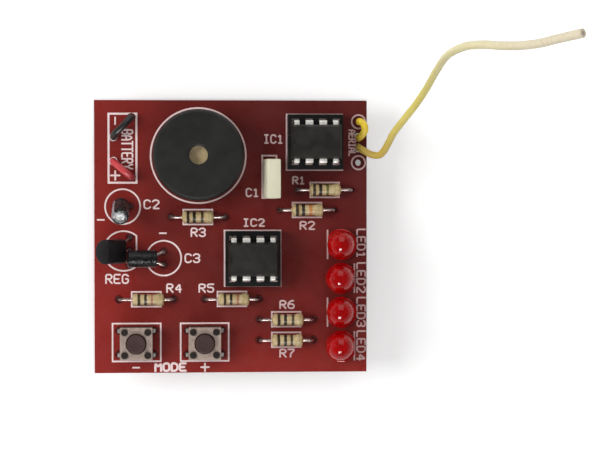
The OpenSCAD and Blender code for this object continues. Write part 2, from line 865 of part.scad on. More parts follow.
module regulator_legs() {
    up = [-sin(regulator_lean), 0, cos(regulator_lean)];
    color("silver")
    for (k = [-1 : 1]) {
        foot = [0, k * lead_pitch, 0];
        knee = [0, k * leg_pitch, 0] + (leg_run - leg_knee) * up;
        on_board(regulator_at)
            tube(rounded([foot - [0, 0, board_t + stub_h], foot, knee, knee + (leg_knee + leg_sunk) * up],
                leg_knee / 2), regulator_leg_d, lead_sides, [1, 0, 0]);
    }
}

// ---------------------------------------------------------------- lamps

// Lean of each lamp in degrees, about the board's X and Y
lamp_lean = [[-2, -6], [-3, -8], [-4, -7], [-4, -7]];
lamp_lift = 0.6;
frame_rise = 3.4;       // height of the lead frame inside a lamp
head_grip = 0.3;        // length of a post inside its head
cup_d = 1.6;

module lamp_pose(i) {
    on_board(lamp_at[i])
        translate([0, 0, lamp_lift]) rotate([lamp_lean[i].x, lamp_lean[i].y, 0]) children();
}

// Heads of the two posts inside the lens, the left or the right one with the cup for the chip
module lead_frame_heads(i) {
    cup_side = i % 2 == 0 ? -1 : 1;
    cup_h = 1.1;
    translate([cup_side * (lead_pitch / 2 - 0.3), 0, frame_rise]) cylinder(d = cup_d, h = cup_h, $fn = 24);
    translate([-cup_side * (lead_pitch / 2 - 0.1), 0, frame_rise]) cylinder(d = 0.9, h = cup_h, $fn = 24);
}

module lens(i) {
    r = lamp_d / 2;
    flat_side = i % 2 == 0 ? 180 : 0;
    color("red")
    lamp_pose(i)
        difference() {
            union() {
                cylinder(d = flange_d, h = flange_t, $fn = 64);
                cylinder(r = r, h = lamp_h - r, $fn = 64);
                translate([0, 0, lamp_h - r]) sphere(r = r, $fn = 64);
            }
            rotate(flat_side)
                translate([r, -flange_d, -cut]) cube([flange_d, 2 * flange_d, flange_t + cut]);
            lead_frame_heads(i);
            for (o = lamp_pins)
                translate([o.x, o.y, -cut]) cylinder(d = frame_lead_d, h = frame_rise + cut, $fn = 48);
        }
}

module led_leadframes() {
    color("silver")
    for (i = [0 : 3]) {
        lean = lamp_lean[i];
        // the lamp's own axes on the board, turned about X first and then about Y
        across = [cos(lean.y), 0, -sin(lean.y)];
        up = [cos(lean.x) * sin(lean.y), -sin(lean.x), cos(lean.x) * cos(lean.y)];
        reach = frame_rise + head_grip;
        lamp_pose(i) lead_frame_heads(i);
        on_board(lamp_at[i])
            for (o = lamp_pins) {
                foot = [0, 0, lamp_lift] + o.x * across;
                tube(rounded([[o.x, 0, -board_t - stub_h], [o.x, 0, lamp_lift / 2], foot,
                    foot + reach * up], lamp_lift / 5), frame_lead_d, lead_sides, [1, 0, 0]);
            }
    }
}

module led1_lens() {
    lens(0);
}

module led2_lens() {
    lens(1);
}

module led3_lens() {
    lens(2);
}

module led4_lens() {
    lens(3);
}

// ---------------------------------------------------------------- push buttons

post_d = 1.25;
post_reach = 2.13;      // of the corner posts from the middle, each way
post_proud = 0.3;
flange_gap = 0.25;      // round the plunger's flange
cavity_r = 2.3;
flange_h = 0.5;
dome_t = 0.1;
dome_rise = 2 * travel;
flange_z = switch_h - 0.05 - flange_h;
dome_z = flange_z - slip - dome_rise;
dome_r = cavity_r - 0.1;

module switch_base(middle) {
    color("dimgray")
    seated(middle)
        difference() {
            union() {
                translate([-switch_side / 2, -switch_side / 2, 0])
                    cube([switch_side, switch_side, switch_h]);
                for (x = [-1, 1], y = [-1, 1])
                    translate([x * post_reach, y * post_reach, 0])
                        cylinder(d = post_d, h = switch_h + cover_t + post_proud, $fn = 32);
            }
            translate([0, 0, dome_z]) cylinder(r = cavity_r, h = switch_h, $fn = 64);
        }
}

module switch_cover(middle) {
    color("gainsboro")
    seated(middle)
        translate([0, 0, switch_h])
            difference() {
                translate([-switch_side / 2, -switch_side / 2, 0]) cube([switch_side, switch_side, cover_t]);
                for (x = [-1, 1], y = [-1, 1])
                    translate([x * post_reach, y * post_reach, -cut])
                        cylinder(d = post_d, h = cover_t + 2 * cut, $fn = 32);
                translate([0, 0, -cut])
                    cylinder(d = plunger_d + 2 * plunger_gap, h = cover_t + 2 * cut, $fn = 64);
            }
}

// Plunger with the flange that keeps it under the cover
module plunger(middle) {
    color("rosybrown")
    seated(middle) {
        translate([0, 0, flange_z]) cylinder(r = cavity_r - flange_gap, h = flange_h, $fn = 64);
        translate([0, 0, flange_z])
            cylinder(d = plunger_d, h = switch_h - flange_z + cover_t + plunger_h, $fn = 64);
    }
}

// Thin domed spring under the plunger
module dome(middle) {
    ball_r = (dome_r * dome_r + dome_rise * dome_rise) / (2 * dome_rise);
    color("silver")
    seated(middle)
        translate([0, 0, dome_z])
            intersection() {
                cylinder(r = dome_r, h = dome_rise + cut, $fn = 64);
                translate([0, 0, dome_rise - ball_r])
                    difference() {
                        sphere(r = ball_r, $fn = 96);
                        sphere(r = ball_r - dome_t, $fn = 96);
                    }
            }
}

// Folded legs: flat on the base's side, then down through the board
module switch_legs() {
    strap_h = 1.4;
    strap_w = 0.7;
    strap_t = switch_leg_x - switch_side / 2 + switch_leg_d / 2;
    color("silver")
    for (m = [minus_at, plus_at], o = switch_pins)
        seated(m) {
            translate([o.x, o.y, 0]) tail(switch_leg_d, seat);
            translate([o.x > 0 ? switch_side / 2 : -switch_side / 2 - strap_t, o.y - strap_w / 2, 0])
                cube([strap_t, strap_w, strap_h]);
        }
}

module minus_switch_base() {
    switch_base(minus_at);
}

module minus_switch_cover() {
    switch_cover(minus_at);
}

module minus_button() {
    plunger(minus_at);
}

module minus_dome() {
    dome(minus_at);
}

module plus_switch_base() {
    switch_base(plus_at);
}

module plus_switch_cover() {
    switch_cover(plus_at);
}

module plus_button() {
    plunger(plus_at);
}

module plus_dome() {
    dome(plus_at);
}

// ---------------------------------------------------------------- aerial

// Route of the aerial from its pad, as offsets from the pad on the board's parts side:
// over and down the first hole, up the second, over the edge and up into the air
aerial_route = [[0, 0, 0.6], [0.35, -0.1, 1.7], [0.9, -0.8, 2.3], [0.95, -1.8, 2.1],
    [0.3, -2.8, 1], [0, -2.9, -0.8], [0, -3, -2.3], [0, -3.875, -2.85], [0, -4.75, -2.3],
    [0, -4.85, -0.8], [0.15, -4.95, 0.7], [1, -5.5, 1.5], [2.4, -6.2, 1.8], [3.8, -6.2, 2.6],
    [4.7, -4.9, 4.4], [5.8, -2.25, 7.4], [7.5, 0.4, 11], [9.1, 2.9, 15], [10.15, 5.45, 21],
    [10.5, 7.75, 30], [10.4, 9.35, 43.5], [11, 9.7, 57], [12.55, 9.4, 65], [14.4, 8.8, 71],
    [16.1, 8.4, 76.5], [17.8, 8.3, 82], [19.5, 8.6, 86.3], [21.3, 8.9, 89.7], [22.1, 9.05, 90.7]];
aerial_steps = 2;
aerial_sides = 8;
aerial_path = [for (p = smooth(aerial_route, aerial_steps)) p + [aerial_at.x, aerial_at.y, top_z]];
aerial_foot = [aerial_at.x, aerial_at.y, board_z - stub_h];

module aerial_wire() {
    tube(concat([aerial_foot], aerial_path), core_d, aerial_sides, [1, 0, 0]);
}

module aerial_insulation() {
    color("khaki")
    difference() {
        tube(aerial_path, aerial_d, aerial_sides, [1, 0, 0]);
        aerial_wire();
    }
}

module aerial_core() {
    color("silver") aerial_wire();
}

// ---------------------------------------------------------------- battery lead

wire_r = wire_d / 2;
tail_top = 0.7;         // the insulation starts this far above the board
wire_sides = 8;
loop_sides = 6;
loop_rings = 24;
red_coil_at = [-16.6, -14];
black_coil_at = [-2, 15.7];
coil_swing = coil_pitch / 2;        // each layer's turn runs this far in and out of the middle
coil_turns = 2.5;
low_z = wire_r;
high_z = wire_r + coil_pitch;
exit_z = terminal_h + snap_plate_t + snap_cover_t / 2;
exit_y = 1.3;
snap_x = terminal_pitch / 2;
snap_end_x = snap_x - snap_l / 2;

// One turn in along the surface, half a turn that climbs, one turn out on top
function coil_r_at(t) = coil_r + coil_swing * (t < 1 ? 1 - 2 * t : t < 1.5 ? -1 : 2 * (t - 1.5) - 1);
function coil_z_at(t) =
    t < 1 ? low_z : t < 1.5 ? low_z + (high_z - low_z) * (1 - cos(360 * (t - 1))) / 2 : high_z;
function coil_points(at, start, way) = [for (i = [0 : coil_turns * loop_rings])
    let (t = i / loop_rings, a = start + way * 360 * t, r = coil_r_at(t))
        [at.x + r * cos(a), at.y + r * sin(a), coil_z_at(t)]];
// Straight stretch of one diameter before and after the turns
function before(p) = p[0] - wire_d * unit(p[1] - p[0]);
function after(p) = p[len(p) - 1] + wire_d * unit(p[len(p) - 1] - p[len(p) - 2]);
function with_ends(p) = concat([before(p)], p, [after(p)]);
red_coil = with_ends(coil_points(red_coil_at, 180, 1));
black_coil = with_ends(coil_points(black_coil_at, 90, -1));

function run_length(p) = len(p) < 2 ? 0 : [for (i = 1, s = norm(p[1] - p[0]); i < len(p);
    i = i + 1, s = i < len(p) ? s + norm(p[i] - p[i - 1]) : s) s][len(p) - 2];
// Least distance between points of a tube that are over half a turn apart, less its diameter
function self_gap(p, apart) = min([for (i = [0 : len(p) - 1 - apart], j = [i + apart : len(p) - 1])
    norm(p[i] - p[j])]) - wire_d;

// Each wire goes from above its pad over into its hole, and is held there. Its free
// length starts under the hole, comes down to the surface and runs to its coil.
red_link_route = [[red_at.x, red_at.y, top_z + tail_top], [red_at.x, red_at.y, top_z + 1],
    [red_at.x - 0.35, red_at.y + 0.3, top_z + 1.75], [red_at.x - 1.4, red_at.y + 1.2, top_z + 2.1],
    [red_relief.x + 0.5, red_relief.y - 0.45, top_z + 1.5],
    [red_relief.x, red_relief.y, top_z - 0.2], [red_relief.x, red_relief.y, board_z]];
black_link_route = [[black_at.x, black_at.y, top_z + tail_top], [black_at.x, black_at.y, top_z + 1],
    [black_at.x - 0.35, black_at.y - 0.4, top_z + 1.75], [black_at.x - 1.5, black_at.y - 1.7, top_z + 2.1],
    [black_relief.x + 0.4, black_relief.y + 0.6, top_z + 1.5],
    [black_relief.x, black_relief.y, top_z - 0.2], [black_relief.x, black_relief.y, board_z]];
red_route = [[red_relief.x, red_relief.y, board_z], [red_relief.x, red_relief.y, board_z - wire_d],
    [-22, 13, 3.8], [-22.5, 10.4, 1.7], [-23.3, 6.5, low_z + 0.17], [-24.2, 1, low_z + 0.02],
    [-24.65, -5, low_z], [-24.7, -8.5, low_z]];
black_route = [[black_relief.x, black_relief.y, board_z], [black_relief.x, black_relief.y, board_z - wire_d],
    [-21.2, 18.9, 3.8], [-18.8, 19.8, 1.7], [-15, 21.5, low_z + 0.17], [-10.5, 23.1, low_z + 0.02],
    [-7.2, 23.7, low_z]];
red_end_route = [[-9.2, -9.6, 2.95], [-9.8, -7.6, 3.3], [-10.6, -5.4, 3.8], [-10.4, -3, 4.2],
    [-9.3, -1.7, 4.4]];
black_end_route = [[-7.2, 7.35, 3.1], [-9.6, 6.7, 3.8], [-11.3, 5.2, 4.3], [-11.2, 3.1, 4.4],
    [-9.6, 1.65, 4.4]];
route_steps = 2;        // tube rings in each span of a route
function into_coil(route, coil) = concat(route, [before(coil), coil[0]]);
function out_of_coil(coil, route, y) = concat([coil[len(coil) - 1], after(coil)], route,
    [[snap_end_x - wire_d, y, exit_z], [snap_end_x, y, exit_z]]);
red_link_path = led(red_link_route, route_steps);
black_link_path = led(black_link_route, route_steps);
red_path = led(into_coil(red_route, red_coil), route_steps);
black_path = led(into_coil(black_route, black_coil), route_steps);
red_end_path = led(out_of_coil(red_coil, red_end_route, -exit_y), route_steps);
black_end_path = led(out_of_coil(black_coil, black_end_route, exit_y), route_steps);
echo(least_gap_in_red_coil = self_gap(red_coil, 13), least_gap_in_black_coil = self_gap(black_coil, 13));
echo(red_length = run_length(red_path) + run_length(red_coil) + run_length(red_end_path),
    black_length = run_length(black_path) + run_length(black_coil) + run_length(black_end_path));

module red_link() {
    color("crimson") tube(red_link_path, wire_d, wire_sides, [1, 0, 0]);
}

module black_link() {
    color("dimgray") tube(black_link_path, wire_d, wire_sides, [1, 0, 0]);
}

module red_lead() {
    color("crimson") tube(red_path, wire_d, wire_sides, [1, 0, 0]);
}

module red_lead_coil() {
    color("crimson") tube(red_coil, wire_d, loop_sides);
}

module red_lead_end() {
    color("crimson") tube(red_end_path, wire_d, wire_sides);
}

module black_lead() {
    color("dimgray") tube(black_path, wire_d, wire_sides, [1, 0, 0]);
}

module black_lead_coil() {
    color("dimgray") tube(black_coil, wire_d, loop_sides);
}

module black_lead_end() {
    color("dimgray") tube(black_end_path, wire_d, wire_sides);
}

// Bared ends of the two wires, down through their pads
module lead_tails() {
    color("silver")
    for (at = [red_at, black_at])
        on_board(at) {
            tail(tail_d);
            cylinder(d = tail_d, h = tail_top);
        }
}

// ---------------------------------------------------------------- snap connector

module snap_outline() {
    corner_r = 4;
    dx = snap_l / 2 - corner_r;
    dy = snap_w / 2 - corner_r;
    translate([snap_x, 0])
        union() {
            square([2 * dx, snap_w], center = true);
            square([snap_l, 2 * dy], center = true);
            for (x = [-dx, dx], y = [-dy, dy]) translate([x, y]) circle(corner_r);
        }
}

module snap_cover() {
    color("dimgray")
    translate([0, 0, terminal_h + snap_plate_t]) linear_extrude(snap_cover_t) snap_outline();
}

module snap_plate() {
    color("saddlebrown")
    translate([0, 0, terminal_h]) linear_extrude(snap_plate_t) snap_outline();
}

// Hollow pressed stud, closed at its end
module snap_stud() {
    skin = 0.4;
    base_flange = 0.4;
    color("silver")
    difference() {
        union() {
            cylinder(d = stud_d, h = terminal_h);
            translate([0, 0, terminal_h - base_flange]) cylinder(d = stud_d + 1.6, h = base_flange);
        }
        translate([0, 0, skin]) cylinder(d = stud_d - 2 * skin, h = terminal_h);
    }
}

// Cup that grips a battery's stud
module snap_socket() {
    bore_d = stud_d + 2 * stud_gap;
    floor_t = 0.3;
    base_flange = 0.4;
    color("silver")
    translate([terminal_pitch, 0, 0])
        difference() {
            union() {
                cylinder(d = bore_d + 2 * socket_wall, h = terminal_h);
                translate([0, 0, terminal_h - base_flange])
                    cylinder(d = bore_d + 2 * socket_wall + 1, h = base_flange);
            }
            translate([0, 0, -cut]) cylinder(d = bore_d, h = terminal_h - floor_t + cut);
        }
}

circuit_board();
solder_pads();
solder_joints();
legend_outlines();
sounder_case();
sounder_disc();
sounder_ceramic();
sounder_base();
sounder_pins();
ic1_socket();
ic2_socket();
socket_contacts();
ic1_chip();
ic2_chip();
chip_legs();
resistor_r1();
resistor_r2();
resistor_r3();
resistor_r4();
resistor_r5();
resistor_r6();
resistor_r7();
resistor_leads();
film_capacitor();
capacitor_cans();
c2_sleeve();
c3_sleeve();
capacitor_bungs();
capacitor_leads();
regulator_body();
regulator_legs();
led1_lens();
led2_lens();
led3_lens();
led4_lens();
led_leadframes();
minus_switch_base();
minus_switch_cover();
minus_button();
minus_dome();
plus_switch_base();
plus_switch_cover();
plus_button();
plus_dome();
switch_legs();
aerial_insulation();
aerial_core();
red_link();
red_lead();
red_lead_coil();
red_lead_end();
black_link();
black_lead();
black_lead_coil();
black_lead_end();
lead_tails();
snap_cover();
snap_plate();
snap_stud();
snap_socket();
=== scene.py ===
"""Looks of a pocket theremin on one red circuit board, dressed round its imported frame.

Lengths are millimetres, in the part's own frame, until a mesh is made from them.
"""

import bpy
import numpy as np
from mathutils import Matrix, Vector


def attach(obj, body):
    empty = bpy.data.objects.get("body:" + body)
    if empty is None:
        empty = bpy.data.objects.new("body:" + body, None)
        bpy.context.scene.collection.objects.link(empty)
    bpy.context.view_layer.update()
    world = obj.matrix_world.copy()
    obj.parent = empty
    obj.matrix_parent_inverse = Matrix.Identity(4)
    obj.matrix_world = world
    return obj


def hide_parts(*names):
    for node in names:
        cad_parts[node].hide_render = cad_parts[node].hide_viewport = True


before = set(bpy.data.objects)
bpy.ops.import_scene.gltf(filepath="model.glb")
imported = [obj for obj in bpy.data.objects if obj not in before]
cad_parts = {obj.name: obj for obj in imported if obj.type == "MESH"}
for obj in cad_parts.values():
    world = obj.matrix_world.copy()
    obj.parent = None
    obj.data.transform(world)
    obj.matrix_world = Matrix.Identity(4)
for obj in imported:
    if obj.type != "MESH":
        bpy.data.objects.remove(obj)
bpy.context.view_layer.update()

MM = 0.001

# Heights of the board's two faces and of the leads, and the places of the parts' middles
UNDER = 7.5
TOP = 9.1
SEATED = 9.15               # parts that stand on their tinned rings
STUB_END = 5.6              # lower end of every lead under the board
GRID = 2.54                 # pitch of the drilled grid
PAIR = (-1, 1)
CORNERS = [(i, j) for i in PAIR for j in PAIR]
SOUNDER = (-6.1, 15.1)
CHIPS = [(15.6, 17.6), (4, -4.05)]
FILM = (7.15, 11.15)
C2 = (-20.15, 5.6)
C3 = (-12.55, -4)
REGULATOR = (-18.85, -2.65)
RESISTORS = [(17.5, 8.7), (14.2, 4.95), (-6.2, 3.65), (-15.8, -11.65), (0.15, -11.65), (10.3, -15.5),
             (10.3, -19.35)]
LAMPS = [(20.6, -1.5 - 6.35 * i) for i in range(4)]
BUTTONS = {"minus": (-17.6, -19.7), "plus": (-4.95, -19.7)}
AERIAL = (23.85, 21.45)
BLACK_PAD = (-18.5, 22.2)
BLACK_HOLE = (-21.85, 18.6)
RED_PAD = (-18.5, 11.15)
RED_HOLE = (-21.9, 14.05)


# ---- camera

def linked(name, data):
    """A new object in the scene."""
    thing = bpy.data.objects.new(name, data)
    bpy.context.scene.collection.objects.link(thing)
    return thing


def look():
    """Camera over the board at the photograph's place, turned so that the board's top edge lies level."""
    data = bpy.data.cameras.new("photo_camera")
    data.sensor_width = 36
    data.lens = 106.07
    data.clip_start = 0.01
    data.clip_end = 20
    camera = linked("photo_camera", data)
    place = Vector((-0.008, 0.010, 0.3391))
    aim = Vector((0.012884, 0.002138, 0.0091))
    back = (place - aim).normalized()
    up = Vector((0.00152, 0.99972, -0.02372))
    right = up.cross(back).normalized()
    up = back.cross(right)
    camera.matrix_world = Matrix.Translation(place) @ Matrix((right, up, back)).transposed().to_4x4()
    bpy.context.scene.camera = camera


look()


# ---- shapes
# A skin is (points, four-sided faces, three-sided faces, marks); a mark is a vector
# that a material reads at each point, such as the place along and round a wire.

def unit(v):
    return v / np.linalg.norm(v)


def skin(rings, marks=None, start=None, end=None, loop=False):
    """Closed surface over the grid rings[i, j]: neighbouring rings are joined by quads, and each end
    by a fan to a middle point. With loop the last ring joins the first instead."""
    rows, cols = rings.shape[:2]
    marks = np.zeros_like(rings) if marks is None else np.broadcast_to(marks, rings.shape)
    i, j = np.meshgrid(np.arange(rows if loop else rows - 1), np.arange(cols), indexing="ij")
    a, b, k = i * cols, (i + 1) % rows * cols, (j + 1) % cols
    four = np.stack([a + j, a + k, b + k, b + j], -1).reshape(-1, 4)
    three = np.zeros((0, 3), int)
    points, given = rings.reshape(-1, 3), marks.reshape(-1, 3)
    if not loop:
        ends = [rings[0].mean(0) if start is None else start, rings[-1].mean(0) if end is None else end]
        j = np.arange(cols)
        k, last, n = (j + 1) % cols, (rows - 1) * cols, rows * cols
        three = np.vstack([np.stack([k, j, np.full(cols, n)], -1),
                           np.stack([last + j, last + k, np.full(cols, n + 1)], -1)])
        points = np.vstack([points, ends])
        given = np.vstack([given, marks[0].mean(0), marks[-1].mean(0)])
    triangles = np.vstack([four[:, :3], four[:, [0, 2, 3]], three])
    p = points - points.mean(0)
    corner = p[triangles]
    if np.einsum("ij,ij->i", corner[:, 0], np.cross(corner[:, 1], corner[:, 2])).sum() < 0:
        four, three = four[:, ::-1], three[:, ::-1]
    return points, four, three, given


def turned(profile, sides=64, loop=False):
    """Surface of revolution about Z: (r cos a, r sin a, z) for every point (r, z) of the profile.
    Its marks are (cos a, sin a, z)."""
    r, z = np.asarray(profile, float).T
    a = np.arange(sides) / sides * 2 * np.pi
    one = np.ones(sides)
    rings = np.stack([np.outer(r, np.cos(a)), np.outer(r, np.sin(a)), np.outer(z, one)], -1)
    marks = np.stack([np.outer(r * 0 + 1, np.cos(a)), np.outer(r * 0 + 1, np.sin(a)), np.outer(z, one)], -1)
    start = end = None
    if not loop and r[0] < 1e-9:
        rings, marks, start = rings[1:], marks[1:], (0, 0, z[0])
    if not loop and r[-1] < 1e-9:
        rings, marks, end = rings[:-1], marks[:-1], (0, 0, z[-1])
    return skin(rings, marks, start, end, loop)


def eased(points, radius, steps=4, closed=False):
    """Line through the points with each corner b rounded: (1-t)^2 from + 2t(1-t) b + t^2 to, where from
    and to lie a radius along the line on both sides of b."""
    p = np.asarray(points, float)
    before, after = np.roll(p, 1, 0), np.roll(p, -1, 0)
    into, out = before - p, after - p
    long_in, long_out = (np.maximum(np.linalg.norm(v, axis=1), 1e-9)[:, None] for v in (into, out))
    r = np.broadcast_to(np.asarray(radius, float).reshape(-1, 1), (len(p), 1))
    cut = np.minimum(r, 0.49 * np.minimum(long_in, long_out))
    t = np.linspace(0, 1, steps + 1)[None, :, None]
    begin, finish = (p + into / long_in * cut)[:, None], (p + out / long_out * cut)[:, None]
    bends = (1 - t) ** 2 * begin + 2 * t * (1 - t) * p[:, None] + t ** 2 * finish
    if closed:
        return bends.reshape(-1, p.shape[1])
    return np.vstack([p[:1], bends[1:-1].reshape(-1, p.shape[1]), p[-1:]])


def threaded(points, steps, straight=False):
    """Smooth curve through every point p1: 0.5 (2 p1 + (p2-p0) t + (2p0-5p1+4p2-p3) t^2 + (3p1-p0-3p2+p3) t^3).
    Its first and last stretch can be kept straight."""
    p = np.asarray(points, float)
    ends = p[:1], p[-1:]
    if not straight:
        p = np.vstack([2 * p[0] - p[1], p, 2 * p[-1] - p[-2]])
    t = (np.arange(steps) / steps)[None, :, None]
    p0, p1, p2, p3 = (p[k:len(p) - 3 + k, None] for k in range(4))
    run = 0.5 * (2 * p1 + (p2 - p0) * t + (2 * p0 - 5 * p1 + 4 * p2 - p3) * t ** 2
                 + (3 * p1 - p0 - 3 * p2 + p3) * t ** 3)
    run = np.vstack([run.reshape(-1, p.shape[1]), p[-2:-1]])
    return np.vstack([ends[0], run, ends[1]]) if straight else run


def drawn(path, section, first=(1, 0, 0), scale=None):
    """Section carried along a path: path[i] + s_x u_i + s_y v_i, where u_i is kept as nearly parallel as
    the path's turns let it. Its marks are (cosine, sine, length along the path)."""
    path, section = np.asarray(path, float), np.asarray(section, float)
    along = np.gradient(path, axis=0)
    along /= np.linalg.norm(along, axis=1)[:, None]
    side = np.empty_like(path)
    carried = np.asarray(first, float)
    for i, t in enumerate(along):
        side[i] = carried = unit(carried - (carried @ t) * t)
    other = np.cross(along, side)
    scale = np.ones(len(path)) if scale is None else np.asarray(scale, float)
    s = section[None] * scale[:, None, None]
    rings = path[:, None] + s[..., :1] * side[:, None] + s[..., 1:] * other[:, None]
    run = np.concatenate([[0], np.cumsum(np.linalg.norm(np.diff(path, axis=0), axis=1))])
    direction = section / np.linalg.norm(section, axis=1)[:, None]
    marks = np.concatenate([np.broadcast_to(direction, (len(path), *section.shape)),
                            np.broadcast_to(run[:, None, None], (len(path), len(section), 1))], -1)
    return skin(rings, marks, path[0], path[-1])


def wire(path, d, sides=12, first=(1, 0, 0), rounded=0.3):
    """Round wire along a path; over its last stretch at each end the radius falls as sqrt(1 - s^2)."""
    path = np.asarray(path, float)
    s = np.array([0.96, 0.8, 0.45])
    head, tail = unit(path[0] - path[1]), unit(path[-1] - path[-2])
    cap = rounded * d / 2
    whole = np.vstack([path[0] + head * cap * (s[:, None] - 1), path[0] - head * cap, path[1:-1],
                       path[-1] - tail * cap, path[-1] + tail * cap * (s[::-1, None] - 1)])
    fall = np.sqrt(1 - s ** 2) * rounded + (1 - rounded)
    scale = np.concatenate([fall, np.ones(len(path)), fall[::-1]])
    a = np.arange(sides) / sides * 2 * np.pi
    return drawn(whole, np.stack([np.cos(a), np.sin(a)], -1) * d / 2, first, scale)


def round_rect(length, width, r, n=5):
    """Outline of a rectangle with round corners: corner middle + r (cos a, sin a) over each quarter turn."""
    a = np.arange(4)[:, None] * np.pi / 2 + np.linspace(0, np.pi / 2, n)
    x = np.array([1, -1, -1, 1])[:, None] * (length / 2 - r)
    y = np.array([1, 1, -1, -1])[:, None] * (width / 2 - r)
    return np.stack([x + r * np.cos(a), y + r * np.sin(a)], -1).reshape(-1, 2)


def d_shape(r, flat, soft=0.25, n=40):
    """Circle of radius r cut by the line x = flat, as points at even turns from one corner to the other,
    with both corners eased."""
    a = np.linspace(np.arccos(flat / r), 2 * np.pi - np.arccos(flat / r), n)
    arc = np.stack([r * np.cos(a), r * np.sin(a)], -1)
    radius = np.zeros(n)
    radius[[0, -1]] = soft
    return eased(arc, np.maximum(radius, 1e-4), 4, closed=True)


def block(outline, height, edge, slope=0, steps=4):
    """Upright solid on an outline, a function of how far it is set in. Both rims are quarter rounds:
    set in e(1 - sin a) at height e(1 - cos a); slope sets the top in by that much more."""
    a = np.linspace(0, np.pi / 2, steps)
    z = np.concatenate([edge * (1 - np.cos(a)), (height - edge * (1 - np.cos(a)))[::-1]])
    inset = np.concatenate([edge * (1 - np.sin(a)), edge * (1 - np.sin(a))[::-1]]) + slope * z / height
    rings = np.stack([np.column_stack([outline(s), np.full(len(outline(s)), h)]) for s, h in zip(inset, z)])
    return skin(rings)


def box(length, width, height, edge=0.1, corner=0.15, slope=0):
    """Block with round corners and rims, its foot's middle at the origin."""
    return block(lambda s: round_rect(length - 2 * s, width - 2 * s, max(corner + edge - s, 0.02)),
                 height, edge, slope)


def posed(part, at=(0, 0, 0), turn=(0, 0, 0)):
    """The skin turned about X, then Y, then Z, in degrees, and carried to a place."""
    x, y, z = np.radians(turn)
    rx = np.array([[1, 0, 0], [0, np.cos(x), -np.sin(x)], [0, np.sin(x), np.cos(x)]])
    ry = np.array([[np.cos(y), 0, np.sin(y)], [0, 1, 0], [-np.sin(y), 0, np.cos(y)]])
    rz = np.array([[np.cos(z), -np.sin(z), 0], [np.sin(z), np.cos(z), 0], [0, 0, 1]])
    return (part[0] @ (rz @ ry @ rx).T + np.asarray(at, float), *part[1:])


def make(name, skins, material, replaces=(), body="board", sharp=40):
    """One piece from its skins, with their marks as the attribute "mark"."""
    points, faces, marks, n = [], [], [], 0
    for p, four, three, given in skins:
        points.append(p)
        marks.append(given)
        faces += (four + n).tolist() + (three + n).tolist()
        n += len(p)
    mesh = bpy.data.meshes.new(name)
    mesh.from_pydata(np.vstack(points) * MM, [], faces)
    mark = mesh.attributes.new("mark", "FLOAT_VECTOR", "POINT")
    mark.data.foreach_set("vector", np.vstack(marks).astype(np.float32).ravel())
    mesh.shade_smooth()
    mesh.set_sharp_from_angle(angle=np.radians(sharp))
    mesh.materials.append(material)
    piece = linked(name, mesh)
    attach(piece, body)
    if replaces:
        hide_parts(*replaces)
    return piece


# ---- finishes

